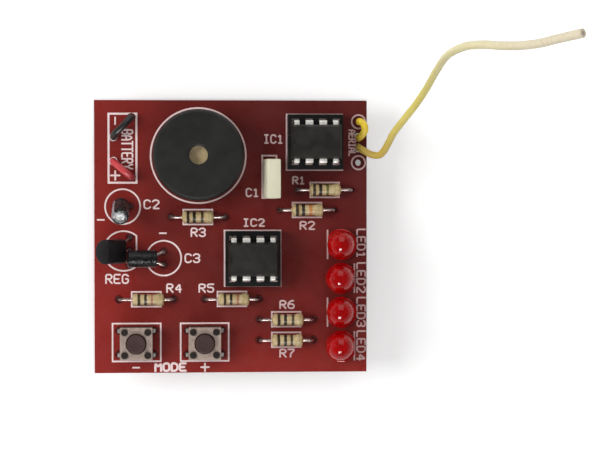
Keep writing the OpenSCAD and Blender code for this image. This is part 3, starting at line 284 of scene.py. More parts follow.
class Paint:
    """One finish. Each call adds a node and gives back its output; patterns read Object coordinates in
    millimetres, or the piece's own marks."""

    def __init__(self, name, colour, rough=0.5, metal=0, **sockets):
        self.material = bpy.data.materials.new(name)
        self.material.use_nodes = True
        self.tree = self.material.node_tree
        self.shader = self.tree.nodes["Principled BSDF"]
        self.normal = None
        self.set(Base_Color=(*colour, 1), Roughness=rough, Metallic=metal, **sockets)
        here = self.add("ShaderNodeTexCoord").outputs["Object"]
        self.place = self.moved(here, (1000, 1000, 1000))

    def put(self, socket, value):
        """A link from another node's output, or a constant on the socket itself."""
        if isinstance(value, bpy.types.NodeSocket):
            self.tree.links.new(value, socket)
        else:
            socket.default_value = value

    def set(self, **sockets):
        for name, value in sockets.items():
            self.put(self.shader.inputs[name.replace("_", " ")], value)

    def add(self, kind, settings=(), **inputs):
        node = self.tree.nodes.new(kind)
        for name, value in dict(settings).items():
            setattr(node, name, value)
        for name, value in inputs.items():
            key = int(name[1:]) if name[0] == "i" and name[1:].isdigit() else name.replace("_", " ")
            self.put(node.inputs[key], value)
        return node

    def marks(self):
        return self.add("ShaderNodeAttribute", {"attribute_name": "mark"}).outputs["Vector"]

    def part(self, vector, axis):
        return self.add("ShaderNodeSeparateXYZ", i0=vector).outputs[axis]

    def moved(self, vector, scale):
        return self.add("ShaderNodeMapping", Vector=vector, Scale=scale).outputs[0]

    def noise(self, size, detail=3, rough=0.5, vector=None):
        return self.add("ShaderNodeTexNoise", Vector=vector or self.place, Scale=1 / size, Detail=detail,
                        Roughness=rough).outputs["Fac"]

    def cells(self, size):
        return self.add("ShaderNodeTexVoronoi", Vector=self.place, Scale=1 / size).outputs["Distance"]

    def math(self, operation, a, b=0.0):
        return self.add("ShaderNodeMath", {"operation": operation}, i0=a, i1=b).outputs[0]

    def times(self, a, b):
        return self.math("MULTIPLY", a, b)

    def dot(self, a, b):
        return self.add("ShaderNodeVectorMath", {"operation": "DOT_PRODUCT"}, i0=a, i1=b).outputs["Value"]

    def span(self, value, a, b, low=0.0, high=1.0, smooth=True):
        """low where value is a, high where it is b, and between them in between."""
        kind = "SMOOTHSTEP" if smooth else "LINEAR"
        return self.add("ShaderNodeMapRange", {"interpolation_type": kind}, Value=value, From_Min=a, From_Max=b,
                        To_Min=low, To_Max=high).outputs[0]

    def cloud(self, size, low=0.0, high=1.0, detail=4):
        """Noise of a size, from low to high over its middle stretch."""
        return self.span(self.noise(size, detail), 0.3, 0.7, low, high)

    def mix(self, share, a, b):
        a, b = ((*c, 1) if isinstance(c, tuple) else c for c in (a, b))
        return self.add("ShaderNodeMix", {"data_type": "RGBA"}, i0=share, i6=a, i7=b).outputs[2]

    def bump(self, height, depth):
        """Height from 0 to 1 stands for depth in millimetres."""
        inputs = {"Height": height, "Distance": depth * MM, "Strength": 1.0}
        if self.normal:
            inputs["Normal"] = self.normal
        self.normal = self.add("ShaderNodeBump", **inputs).outputs[0]
        self.set(Normal=self.normal)

    def done(self, colour, rough, relief, depth):
        """Sets colour and roughness, adds the last relief and gives back the material."""
        self.set(Base_Color=colour, Roughness=rough)
        self.bump(relief, depth)
        return self.material

    def edges(self, radius):
        """Rounds the edges in the light, and gives a share that is 1 along them."""
        self.normal = self.add("ShaderNodeBevel", {"samples": 4}, Radius=radius * MM).outputs[0]
        self.set(Normal=self.normal)
        plain = self.add("ShaderNodeNewGeometry").outputs["Normal"]
        return self.span(self.dot(plain, self.normal), 1.0, 0.75)


def dust(p, colour, share=0.35, size=1.1):
    """Sparse pale specks over a base colour."""
    specks = p.span(p.cells(size), 0.045, 0.02)
    spread = p.span(p.noise(size * 2.3), 0.52, 0.6)
    amount = p.times(p.times(specks, spread), share)
    return p.mix(amount, colour, (0.62, 0.58, 0.54))


def moulded(name, colour, rough, grain=0.25, depth=0.012, edge=0.12, pale=0.5, cloud=0.12, gloss=0.3, size=1.1):
    """Moulded plastic: fine grain, slightly cloudy gloss, edges worn a little paler, and dust."""
    p = Paint(name, colour, rough, Specular_IOR_Level=gloss)
    worn = p.edges(edge)
    dark, light = (tuple(c * k for c in colour) for k in (1 - cloud, 1 + cloud))
    base = p.mix(p.cloud(3.1), dark, light)
    base = p.mix(p.times(worn, pale * 0.5), base, tuple(min(1.0, c * 1.8 + 0.02) for c in colour))
    return p.done(dust(p, base, size=size),
                  p.span(p.noise(1.7, 5), 0.25, 0.75, rough - 0.05, rough + 0.07),
                  p.noise(grain, 4, 0.6), depth)


def metal(name, colour, rough, brush=None, dull=0.5, edge=0.06, size=0.8, share=1.0):
    """Bright metal with cloudy tarnish and fine scratches, or lines brushed along one axis. A dull plating
    has a smaller metallic share."""
    p = Paint(name, colour, rough, share)
    worn = p.edges(edge)
    tarnish = p.span(p.noise(size, 5, 0.6), 0.42, 0.72)
    dim = tuple(c * (1 - dull * 0.55) for c in colour)
    base = p.mix(tarnish, colour, dim)
    base = p.mix(p.times(worn, 0.6), base, tuple(min(1.0, c * 1.2) for c in colour))
    lines = p.noise(0.12, 4, 0.6, p.moved(p.place, brush or (1, 1, 1)))
    return p.done(base,
                  p.span(p.noise(size * 0.6, 4), 0.3, 0.75, rough * 0.75, rough * 1.45),
                  lines, 0.006 if brush else 0.004)


def board_mask():
    """Red solder mask over woven glass laminate, with painted light brighter along the left and lower edges
    and painted shade deeper towards the upper right. Bare laminate shows on the sawn edges; the walls of the
    holes are painted nearly black red as painted shade."""
    p = Paint("red_solder_mask", (0.17, 0.014, 0.012), 0.34, Specular_IOR_Level=0.22)
    worn = p.edges(0.12)
    facing = p.math("ABSOLUTE", p.part(p.add("ShaderNodeNewGeometry").outputs["True Normal"], 2))
    side = p.span(facing, 0.8, 0.5)
    x, y = p.part(p.place, 0), p.part(p.place, 1)
    weave = p.times(p.math("SINE", p.times(x, 9.0)), p.math("SINE", p.times(y, 9.0)))
    # Painted light and shade: brighter towards the left and the lower edge, where the light falls, and darker
    # towards the upper right.
    left = p.times(p.span(x, -9, -25), p.span(y, 20, -12, 0.5, 1))
    bright = p.math("MAXIMUM", left, p.span(y, -15, -25.5, 0, 0.85))
    shade = p.span(p.math("ADD", x, y), 6, 34, 0, 0.85)
    deep = p.mix(p.span(p.noise(9, 4, 0.55), 0.3, 0.7), (0.144, 0.0165, 0.0135), (0.182, 0.0205, 0.0170))
    deep = p.mix(bright, deep, (0.300, 0.026, 0.021))
    deep = p.mix(shade, deep, (0.092, 0.0150, 0.0145))
    deep = p.mix(p.span(weave, -1, 1, 0, 0.1, False), deep, (0.27, 0.03, 0.03))
    scuff = p.span(p.noise(0.35, 3, 0.5, p.moved(p.place, (0.25, 2.2, 1))), 0.68, 0.78)
    patch = p.span(p.noise(6, 2), 0.5, 0.65)
    deep = p.mix(p.times(p.times(scuff, patch), 0.12), deep, (0.45, 0.13, 0.12))
    cut_face = p.mix(p.span(p.noise(0.3, 3, 0.6, p.moved(p.place, (1, 1, 4))), 0.35, 0.7),
                     (0.22, 0.07, 0.04), (0.34, 0.17, 0.09))
    # Painted shade: inside the board's outline the cut faces are the walls of the holes, painted nearly black
    # red; the sawn outer edges keep the laminate colour.
    outside = p.span(p.math("MAXIMUM", p.math("ABSOLUTE", x), p.math("ABSOLUTE", y)), 25.2, 25.35)
    cut_face = p.mix(outside, (0.060, 0.008, 0.007), cut_face)
    base = p.mix(side, dust(p, deep, 0.4, 1.3), cut_face)
    base = p.mix(p.times(worn, 0.3), base, (0.42, 0.12, 0.10))
    gloss = p.span(p.noise(2.5, 4), 0.3, 0.75, 0.26, 0.42)
    p.set(Base_Color=base, Roughness=p.math("MAXIMUM", gloss, p.times(side, 0.75)))
    p.bump(p.noise(0.5, 3), 0.006)
    p.bump(p.times(weave, 0.5), 0.002)
    return p.material


def pads():
    """Rings of tinned copper: bright on the solder side, under the red mask on the parts side."""
    p = Paint("tinned_rings", (0.7, 0.68, 0.66), 0.3, Specular_IOR_Level=0.22)
    above = p.span(p.part(p.place, 2), 8.2, 8.4)
    tin = p.mix(p.span(p.noise(0.5, 4), 0.35, 0.7), (0.74, 0.73, 0.71), (0.5, 0.48, 0.46))
    masked = p.mix(p.span(p.noise(1.2, 3), 0.35, 0.7), (0.085, 0.008, 0.008), (0.125, 0.011, 0.010))
    p.set(Base_Color=p.mix(above, tin, masked), Metallic=p.math("SUBTRACT", 1.0, above),
          Roughness=p.cloud(0.8, 0.28, 0.45))
    p.bump(p.noise(0.25, 4), 0.01)
    return p.material


def ink():
    """Screened ink, pinkish white with painted shade making it greyer to the right, thin in places so that the
    mask shows through.
    """
    p = Paint("legend_ink", (0.8, 0.56, 0.56), 0.55, Specular_IOR_Level=0.3)
    thin = p.span(p.noise(0.42, 4, 0.65), 0.55, 0.85)
    # Painted shade: the ink turns greyer towards the right, away from the light.
    ink_painted_shade = p.mix(p.span(p.part(p.place, 0), -12, 22), (0.93, 0.74, 0.73), (0.60, 0.41, 0.40))
    return p.done(p.mix(p.times(thin, 0.35), ink_painted_shade, (0.36, 0.09, 0.085)),
                  p.cloud(0.6, 0.45, 0.65, 3), p.noise(0.15, 3), 0.01)


def resistor_coat(name, bands):
    """Beige lacquer with bands painted round the body at (place, half width, cover, colour), each with a
    slightly wavy edge."""
    p = Paint(name, (0.56, 0.44, 0.25), 0.38, Specular_IOR_Level=0.35)
    mark = p.marks()
    wobble = p.span(p.noise(0.8, 2, 0.5, mark), 0.3, 0.7, -0.04, 0.04, False)
    along = p.math("ADD", p.part(mark, 2), wobble)
    coat = p.mix(p.span(p.noise(0.9, 4, 0.5), 0.3, 0.7), (0.46, 0.335, 0.160), (0.60, 0.465, 0.255))
    for place, half, cover, colour in bands:
        off = p.math("ABSOLUTE", p.math("SUBTRACT", along, place))
        share = p.span(off, half + 0.04, half - 0.03)
        streak = p.mix(p.span(p.noise(0.4, 3), 0.35, 0.75), colour, tuple(c * 1.35 + 0.004 for c in colour))
        coat = p.mix(p.times(share, cover), coat, streak)
    return p.done(coat, p.cloud(0.7, 0.32, 0.48, 3), p.noise(0.5, 3), 0.02)


def disc_brass():
    p = Paint("disc_brass", (0.62, 0.46, 0.22), 0.5, 0.12)
    spot = p.span(p.noise(0.9, 5, 0.6), 0.35, 0.7)
    rings = p.noise(0.05, 3, 0.6, p.moved(p.place, (1, 0.1, 1)))
    return p.done(p.mix(spot, (0.95, 0.74, 0.42), (0.80, 0.61, 0.32)),
                  p.cloud(0.5, 0.42, 0.6, 3), rings, 0.004)


def sleeve(name, stripe_at):
    """Shrunk plastic sleeve, nearly black with a pale band of minus signs along one side. Marks give the
    turn round the can and the height on it."""
    p = Paint(name, (0.012, 0.011, 0.012), 0.26, Specular_IOR_Level=0.3)
    mark = p.marks()
    a = np.radians(stripe_at)
    facing = p.dot(mark, (float(np.cos(a)), float(np.sin(a)), 0.0))
    band = p.span(facing, 0.84, 0.89)
    height = p.part(mark, 2)
    sign = p.math("PINGPONG", height, 0.62)
    dash = p.times(p.span(sign, 0.5, 0.56), p.span(facing, 0.93, 0.95))
    grey = p.mix(p.cloud(0.6, detail=3), (0.40, 0.36, 0.38), (0.24, 0.22, 0.24))
    body = p.mix(p.cloud(0.8), (0.0045, 0.0045, 0.005), (0.016, 0.015, 0.016))
    base = p.mix(p.times(band, 0.9), body, p.mix(dash, grey, (0.02, 0.02, 0.024)))
    return p.done(base, p.span(p.noise(0.5, 4), 0.3, 0.75, 0.18, 0.36), p.noise(0.55, 3), 0.09)


def lens_red():
    """Clear red resin of a lamp, with faint flow clouds inside."""
    p = Paint("lens_resin", (0.55, 0.002, 0.003), 0.08, Transmission_Weight=0.35, IOR=1.5,
              Specular_IOR_Level=0.35, Subsurface_Weight=0.1, Subsurface_Radius=(0.002, 0.0002, 0.0002),
              Subsurface_Scale=0.6)
    return p.done(p.mix(p.cloud(1.6, detail=3), (0.47, 0.0015, 0.003), (0.58, 0.0025, 0.004)),
                  p.span(p.noise(0.9, 4), 0.3, 0.8, 0.05, 0.12), p.noise(1.1, 2), 0.008)


def aerial_cover():
    """Yellow insulation, set by its length mark: bright yellow over the first loop, browner where it rises from
    the second hole and paler to cream towards the tip, with a little grime.
    """
    p = Paint("aerial_insulation", (0.72, 0.55, 0.12), 0.42, Subsurface_Weight=0.05, Subsurface_Scale=0.3,
              Subsurface_Radius=(0.001, 0.0008, 0.0003))
    run = p.part(p.marks(), 2)
    colour = p.mix(p.span(run, 7, 12), (0.86, 0.62, 0.040), (0.58, 0.40, 0.07))
    colour = p.mix(p.span(run, 15, 32), colour, (0.73, 0.62, 0.16))
    colour = p.mix(p.span(run, 32, 66), colour, (0.74, 0.67, 0.36))
    colour = p.mix(p.span(run, 66, 112), colour, (0.68, 0.60, 0.44))
    grime = p.span(p.noise(0.7, 4, 0.6), 0.5, 0.75)
    colour = p.mix(p.times(grime, 0.3), colour, (0.42, 0.31, 0.10))
    return p.done(colour, p.cloud(1.0, 0.34, 0.52), p.noise(0.8, 3), 0.04)


def pvc(name, colour, pale):
    """Soft wire insulation: streaks drawn along it, and a satin gloss."""
    p = Paint(name, colour, 0.34, Coat_Weight=0.15, Coat_Roughness=0.3)
    lengthwise = p.moved(p.marks(), (1.4, 1.4, 0.12))
    streak = p.span(p.noise(0.5, 3, 0.5, lengthwise), 0.35, 0.7)
    return p.done(p.mix(p.times(streak, 0.6), colour, pale), p.cloud(0.9, 0.28, 0.45), p.noise(0.6, 3), 0.015)


def ceramic():
    p = Paint("piezo_ceramic", (0.72, 0.69, 0.60), 0.5)
    return p.done(p.mix(p.cloud(0.9), (0.74, 0.71, 0.63), (0.58, 0.55, 0.47)),
                  p.cloud(0.6, 0.4, 0.6, 3), p.noise(0.2, 4), 0.01)


def rubber():
    p = Paint("bung_rubber", (0.02, 0.02, 0.02), 0.7)
    return p.done(p.mix(p.cloud(0.5), (0.016, 0.016, 0.017), (0.045, 0.044, 0.044)),
                  p.cloud(0.5, 0.6, 0.8, 3), p.noise(0.2, 4), 0.02)


def fibre_plate():
    """Pressed fibre of the connector's plate: brown with fine flecks."""
    p = Paint("fibre_plate", (0.18, 0.08, 0.04), 0.6)
    worn = p.edges(0.1)
    fleck = p.span(p.noise(0.35, 5, 0.7), 0.35, 0.7)
    base = p.mix(fleck, (0.15, 0.065, 0.03), (0.26, 0.13, 0.065))
    return p.done(p.mix(p.times(worn, 0.5), base, (0.36, 0.22, 0.13)),
                  p.cloud(0.8, 0.5, 0.7), p.noise(0.3, 4), 0.02)


TIN = metal("tinned_lead", (0.52, 0.42, 0.40), 0.34, dull=0.6, size=0.5)
SOLDER = metal("solder", (0.72, 0.72, 0.71), 0.18, dull=0.4, size=0.5)
INK = ink()
LEG = metal("chip_leg_tin", (0.88, 0.85, 0.80), 0.45, brush=(0.2, 2, 2), dull=0.25, share=0.35)
STRIP = metal("button_leg_tin", (0.62, 0.56, 0.53), 0.35, dull=0.5, share=0.7)
CASE = moulded("sounder_plastic", (0.0145, 0.0142, 0.0132), 0.5, grain=0.18, cloud=0.2, size=0.7)
SOCKET = moulded("socket_plastic", (0.008, 0.008, 0.008), 0.42, 0.3, 0.006, 0.1, pale=0.3, cloud=0.1,
                 gloss=0.25)
EPOXY = moulded("chip_epoxy", (0.018, 0.0165, 0.0145), 0.55, 0.14, 0.014, 0.1, cloud=0.4, gloss=0.25, size=0.6)
MATTE = moulded("regulator_epoxy", (0.0085, 0.0070, 0.0078), 0.4, 0.2, edge=0.1, pale=0.2, cloud=0.2, gloss=0.2)
SWITCH = moulded("switch_plastic", (0.021, 0.0145, 0.012), 0.45, depth=0.008, edge=0.08, pale=0.3, cloud=0.15,
                 gloss=0.25)
FILM_BOX = moulded("film_box_plastic", (0.735, 0.715, 0.53), 0.45, 0.35, 0.006, 0.06, pale=0.1, cloud=0.03)
PLUNGER = moulded("plunger_plastic", (0.060, 0.033, 0.030), 0.48, 0.2, edge=0.1, pale=0.3, gloss=0.25)
PLATE = metal("cover_plate_tin", (0.53, 0.41, 0.35), 0.42, brush=(0.08, 1.5, 1), dull=0.3, edge=0.08, share=0.5)
CAN = metal("can_aluminium", (0.36, 0.37, 0.36), 0.5, dull=0.3, share=0.3)
SPRING = metal("spring_steel", (0.66, 0.65, 0.62), 0.25, dull=0.4)
TERMINAL = metal("terminal_nickel", (0.74, 0.72, 0.67), 0.22, dull=0.5)
VINYL = moulded("cover_vinyl", (0.014, 0.014, 0.015), 0.46, 0.5, 0.02, 0.3, pale=0.3)
RED_PVC = pvc("red_wire_pvc", (0.52, 0.028, 0.036), (0.68, 0.10, 0.11))
BLACK_PVC = pvc("black_wire_pvc", (0.012, 0.010, 0.010), (0.040, 0.034, 0.034))
LENS = lens_red()


# ---- battery lead

WIRE = 1.3
LEAD_Z = WIRE / 2


def coil(middle, start, way, steps=36):
    """Two and a half turns: in along the surface, half a turn that climbs 2.1 mm, and out again on top.
    Radius 6.5 +- 1.05, height 0.65 to 2.75, at start + way * 360 t degrees."""
    t = np.arange(int(2.5 * steps) + 1) / steps
    r = 6.5 + 1.05 * np.where(t < 1, 1 - 2 * t, np.where(t < 1.5, -1, 2 * (t - 1.5) - 1))
    rise = np.where(t < 1, 0, np.where(t < 1.5, (1 - np.cos(2 * np.pi * (t - 1))) / 2, 1))
    a = np.radians(start + way * 360 * t)
    p = np.stack([middle[0] + r * np.cos(a), middle[1] + r * np.sin(a), LEAD_Z + 2.1 * rise], -1)
    return np.vstack([p[0] + WIRE * unit(p[0] - p[1]), p, p[-1] + WIRE * unit(p[-1] - p[-2])])


def lead(name, route, turns, end_route, material, nodes):
    """A battery wire from under its hole down to the surface, through its coil and into the connector."""
    into, out = (WIRE * unit(a - b) for a, b in ((turns[0], turns[1]), (turns[-1], turns[-2])))
    free = threaded(np.vstack([route, turns[:1] + into, turns[:1]]), 6, straight=True)
    end = threaded(np.vstack([turns[-1:], turns[-1:] + out, end_route]), 6, straight=True)
    path = np.vstack([free[:-1], turns, end[1:]])
    piece = make(name, [wire(path, WIRE, 14, rounded=0.05)], material, nodes)
    return piece


def snap_connector():
    """Battery snap lying with its terminals down: soft cover, fibre plate, stud and socket."""
    def outline(s):
        return round_rect(26 - 2 * s, 12.8 - 2 * s, 4 - s, 8)

    cover = posed(block(outline, 2.4, 0.7, 0.12, 6), (6.35, 0, 3.2))
    plate = posed(block(outline, 0.6, 0.08, 0, 3), (6.35, 0, 2.6))
    pieces = [make("snap_soft_cover", [cover], VINYL, ["snap_cover"]),
              make("snap_fibre_plate", [plate], fibre_plate(), ["snap_plate"])]
    stud = eased([(0, 0), (2.3, 0), (2.85, 0.45), (2.6, 1.2), (2.75, 2.2), (3.65, 2.2), (3.65, 2.6),
                  (2.35, 2.6), (2.2, 1.2), (2.35, 0.5), (1.9, 0.4), (0, 0.4)], 0.25)
    pieces.append(make("snap_stud_cap", [turned(stud, 48)], TERMINAL, ["snap_stud"]))
    rim = eased([(2.95, 0.0), (3.85, 0), (3.7, 1.2), (3.85, 2.2), (4.35, 2.2), (4.35, 2.6), (0.01, 2.6),
                 (0.01, 2.3), (2.95, 2.3)], 0.22, closed=True)
    cup = turned(rim, 96, loop=True)
    x, y, z = cup[0].T
    petal = 1 - 0.035 * np.clip(1.6 - z, 0, 1.6) * np.cos(6 * np.arctan2(y, x)) ** 8
    cup[0][:, :2] *= petal[:, None]
    cup = posed(cup, (5 * GRID, 0, 0))
    return pieces + [make("snap_socket_cup", [cup], TERMINAL, ["snap_socket"])]


CONNECTOR = snap_connector()
RED_ROUTE = [(*RED_HOLE, UNDER), (*RED_HOLE, UNDER - WIRE), (-22, 13, 3.8), (-22.5, 10.4, 1.7),
             (-23.3, 6.5, 0.82), (-24.2, 1, 0.67), (-24.65, -5, 0.65), (-24.7, -8.5, 0.65)]
BLACK_ROUTE = [(*BLACK_HOLE, UNDER), (*BLACK_HOLE, UNDER - WIRE), (-21.2, 18.9, 3.8), (-18.8, 19.8, 1.7),
               (-15, 21.5, 0.82), (-10.5, 23.1, 0.67), (-7.2, 23.7, 0.65)]
RED_END = [(-9.2, -9.6, 2.95), (-9.8, -7.6, 3.3), (-10.6, -5.4, 3.8), (-10.4, -3, 4.2), (-9.3, -1.7, 4.4),
           (-7.95, -1.3, 4.4), (-6.65, -1.3, 4.4)]
BLACK_END = [(-7.2, 7.35, 3.1), (-9.6, 6.7, 3.8), (-11.3, 5.2, 4.3), (-11.2, 3.1, 4.4), (-9.6, 1.65, 4.4),
             (-7.95, 1.3, 4.4), (-6.65, 1.3, 4.4)]
lead("red_battery_wire", RED_ROUTE, coil((-16.6, -14), 180, 1), RED_END, RED_PVC,
     ["red_lead", "red_lead_coil", "red_lead_end"])
lead("black_battery_wire", BLACK_ROUTE, coil((-2, 15.7), 90, -1), BLACK_END, BLACK_PVC,
     ["black_lead", "black_lead_coil", "black_lead_end"])


def wire_stubs():
    """Each wire's held stretch, from above its pad over into its hole, and its end of six twisted strands,
    0.22 mm off its middle, in the pad."""
    strands = []
    z = np.linspace(STUB_END, TOP + 0.9, 30)
    for name, pad, hole, rise, over, dip, cover in (
            ("red", RED_PAD, RED_HOLE, (-0.35, 0.3), (-1.4, 1.2), (0.5, -0.45), RED_PVC),
            ("black", BLACK_PAD, BLACK_HOLE, (-0.35, -0.4), (-1.5, -1.7), (0.4, 0.6), BLACK_PVC)):
        path = [(*pad, TOP + 0.7), (*pad, TOP + 1), (pad[0] + rise[0], pad[1] + rise[1], TOP + 1.75),
                (pad[0] + over[0], pad[1] + over[1], TOP + 2.1),
                (hole[0] + dip[0], hole[1] + dip[1], TOP + 1.5), (*hole, TOP - 0.2), (*hole, UNDER)]
        stub = wire(threaded(path, 8, True), WIRE, 20, rounded=0.2)
        make(f"{name}_wire_stub", [stub], cover, [f"{name}_link"])
        for turn in np.arange(6) * np.pi / 3:
            twist = turn + (z - UNDER) * 0.9
            strand = [pad[0] + 0.22 * np.cos(twist), pad[1] + 0.22 * np.sin(twist), z]
            strands.append(wire(np.stack(strand, -1), 0.24, 6))
    make("stranded_tails", strands, TIN, ["lead_tails"])


wire_stubs()


# ---- board

def dress(nodes, material):
    """CAD nodes that keep their shape and get their finish."""
    for name in nodes:
        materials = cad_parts[name].data.materials
        materials.clear()
        materials.append(material)


dress(["circuit_board"], board_mask())
dress(["solder_pads"], pads())
dress(["legend_outlines"], INK)


ALONG = (-1.5, -0.5, 0.5, 1.5)      # pins of a chip's row, in steps of the grid


def pins():
    """Every soldered pin as (x, y, lead diameter)."""
    kinds = [(RESISTORS, [(2 * GRID * k, 0) for k in PAIR], 0.55),
             ([FILM], [(0, GRID * k) for k in PAIR], 0.55),
             ([C2], [(GRID / 2 * k, 0) for k in PAIR], 0.55),
             ([C3], [(0, -GRID / 2 * k) for k in PAIR], 0.55),
             ([REGULATOR], [(0, GRID * k) for k in (-1, 0, 1)], 0.45),
             (LAMPS, [(GRID / 2 * k, 0) for k in PAIR], 0.5), ([SOUNDER], [(5 * k, 0) for k in PAIR], 0.6),
             (CHIPS, [(k * GRID, row * 1.5 * GRID) for row in PAIR for k in ALONG], 0.5),
             (BUTTONS.values(), [(3.25 * i, 2.25 * j) for i, j in CORNERS], 0.6),
             ([RED_PAD, BLACK_PAD], [(0, 0)], 0.7), ([AERIAL], [(0, 0)], 0.6)]
    return [(x + u, y + v, d) for middles, offsets, d in kinds for x, y in middles for u, v in offsets]


def solder_joints():
    """Concave cone of solder round each stub: radius lead + (ring - lead) (1 - s)^2.4 at s of its height."""
    joints = []
    s = np.linspace(0, 1, 9)
    for x, y, d in pins():
        inner, outer = d / 2 + 0.06, max(0.9, d + 0.2) / 2 + 0.33
        r = inner + (outer - inner) * (1 - s) ** 2.4
        z = UNDER - 0.05 - 1.2 * s
        profile = [(0, z[0]), *zip(r, z), (inner * 0.6, z[-1] - 0.05), (0, z[-1] - 0.06)]
        joints.append(posed(turned(profile, 16), (x, y, 0)))
    make("solder_fillets", joints, SOLDER, ["solder_joints"])


solder_joints()


# ---- lettering

# Lines of each letter as points x,y on a grid 4 wide and 6 high
GLYPHS = {
    "A": "0,0 0,4 2,6 4,4 4,0; 0,2.4 4,2.4",
    "B": "0,0 0,6 3,6 4,5 4,4 3,3 0,3; 3,3 4,2 4,1 3,0 0,0",
    "C": "4,5 3,6 1,6 0,5 0,1 1,0 3,0 4,1",
    "D": "0,0 0,6 2.6,6 4,4.6 4,1.4 2.6,0 0,0",
    "E": "4,6 0,6 0,0 4,0; 0,3 3,3",
    "G": "4,5 3,6 1,6 0,5 0,1 1,0 3,0 4,1 4,3 2.4,3",
    "I": "0.8,0 3.2,0; 0.8,6 3.2,6; 2,0 2,6",
    "L": "0,6 0,0 4,0",
    "M": "0,0 0,6 2,3.4 4,6 4,0",
    "O": "2,0 1,0 0,1 0,5 1,6 3,6 4,5 4,1 3,0 2,0",
    "R": "0,0 0,6 3,6 4,5 4,4 3,3 0,3; 1.6,3 4,0",
    "T": "0,6 4,6; 2,6 2,0",
    "Y": "0,6 0,5.2 2,3 4,5.2 4,6; 2,3 2,0",
    "1": "0.8,4.8 2,6 2,0; 0.8,0 3.2,0",
    "2": "0,5 1,6 3,6 4,5 4,4 0,0 4,0",
    "3": "0,5 1,6 3,6 4,5 4,4 3,3 1.6,3; 3,3 4,2 4,1 3,0 1,0 0,1",
    "4": "3.2,0 3.2,6 0,2 4,2",
    "5": "4,6 0,6 0,3.6 3,3.6 4,2.6 4,1 3,0 1,0 0,1",
    "6": "3.6,6 2,6 0,4 0,1 1,0 3,0 4,1 4,2.4 3,3.4 0,3.4",
    "7": "0,6 4,6 4,5 1.6,2.4 1.6,0",
}


def strokes(letter):
    return [np.array([[float(v) for v in point.split(",")] for point in line.split()])
            for line in GLYPHS[letter].split(";")]


def stroke(points, width, level, thick=0.03):
    """Line of ink with round ends: its half width falls as sqrt(1 - s^2) over the last half width, and it
    rises by 0.002 mm along its length, so that the ends of a closed letter don't share a plane."""
    p = eased(np.asarray(points, float), 0.28, 3)
    s = np.array([0.97, 0.75, 0.4])
    head, tail = unit(p[0] - p[1]), unit(p[-1] - p[-2])
    half = width / 2
    line = np.vstack([p[0] + head * half * s[:, None], p, p[-1] + tail * half * s[::-1, None]])
    share = np.concatenate([np.sqrt(1 - s ** 2), np.ones(len(p)), np.sqrt(1 - s[::-1] ** 2)]) * half
    along = np.gradient(line, axis=0)
    along /= np.linalg.norm(along, axis=1)[:, None]
    across = np.stack([-along[:, 1], along[:, 0]], -1) * share[:, None]
    low = level + np.linspace(0, 0.002, len(line))[:, None]
    high = low + thick
    rings = np.stack([np.hstack([line + across, low]), np.hstack([line + across, high]),
                      np.hstack([line - across, high]), np.hstack([line - across, low])], 1)
    return skin(rings)


def word(text, x0, x1, y0, y1, down=False, width=0.3):
    """Letters that fill a box, drawn on a grid 4 wide and 6 high; a word that runs down has its letters'
    tops to the right."""
    long, high = ((y1 - y0), (x1 - x0)) if down else ((x1 - x0), (y1 - y0))
    long, high = long - width, high - width
    letter = long / (len(text) + 0.42 * (len(text) - 1))
    skins = []
    for k, character in enumerate(text):
        for n, line in enumerate(strokes(character)):
            u = k * 1.42 * letter + line[:, 0] / 4 * letter + width / 2
            v = line[:, 1] / 6 * high + width / 2
            p = np.stack([x0 + v, y1 - u], -1) if down else np.stack([x0 + u, y0 + v], -1)
            skins.append(stroke(p, width, TOP - 0.002 + 0.003 * n))
    return skins


def lettering():
    """Names beside the parts, as screened on the board."""
    words = [("BATTERY", -20.4, -18.15, 12.5, 20.0, True), ("C2", -16.3, -13.3, 5.1, 6.95),
             ("REG", -23.4, -19.0, -8.8, -6.9), ("C3", -8.7, -5.75, -4.95, -3.1),
             ("IC1", 6.0, 9.8, 17.3, 19.1), ("IC2", 2.15, 6.3, 1.8, 3.4), ("C1", 2.7, 5.25, 7.35, 9.1),
             ("R1", 11.4, 13.9, 9.7, 11.3), ("R2", 12.8, 15.7, 1.2, 2.9), ("R3", -7.55, -4.7, -0.1, 1.7),
             ("R4", -12.1, -9.2, -10.5, -8.7), ("R5", -6.1, -3.15, -10.5, -8.75),
             ("R6", 9.0, 11.9, -13.6, -11.9), ("R7", 9.0, 11.9, -22.7, -21.0),
             ("LED1", 23.45, 25.3, -4.1, 1.45, True), ("LED2", 23.45, 25.3, -10.65, -4.85, True),
             ("LED3", 23.45, 25.3, -17.05, -11.35, True), ("LED4", 23.45, 25.3, -23.35, -17.65, True),
             ("AERIAL", 21.95, 23.4, 15.0, 20.0, True, 0.24),
             ("MODE", -14.35, -8.3, -25.25, -23.45, False, 0.42)]
    skins = [letter for w in words for letter in word(*w)]
    skins.append(stroke([(-21.5, 20.9), (-21.5, 22.2)], 0.3, TOP))
    for u, v, half in ((-21.5, 11.4, 0.8), (-4.9, -24.4, 0.7)):
        skins.append(stroke([(u - half, v), (u + half, v)], 0.34, TOP))
        skins.append(stroke([(u, v - half), (u, v + half)], 0.34, TOP + 0.003))
    make("legend_lettering", skins, INK)


lettering()


# ---- sounder and chips

def sounder():
    """Round case turned from one closed profile: skirt, sloped rim, flat top, hole with a broken edge."""
    profile = [(7.35, 0), (8.35, 0), (8.35, 6.5), (7.87, 7), (2.0, 7), (1.85, 6.86), (1.7, 6.8), (1.7, 6),
               (5.85, 6), (5.85, 4.8), (7.35, 4.8)]
    soft = [0.1, 0.15, 0.3, 0.14, 0.05, 0.03, 0.05, 0.1, 0.1, 0.1, 0.1]
    case = turned(eased(profile, soft, 4, closed=True), 128, loop=True)
    make("sounder_shell", [posed(case, (*SOUNDER, SEATED))], CASE, ["sounder_case"])
    dress(["sounder_base"], CASE)
    dress(["sounder_disc"], disc_brass())
    dress(["sounder_ceramic"], ceramic())
    dress(["sounder_pins", "socket_contacts"], TIN)


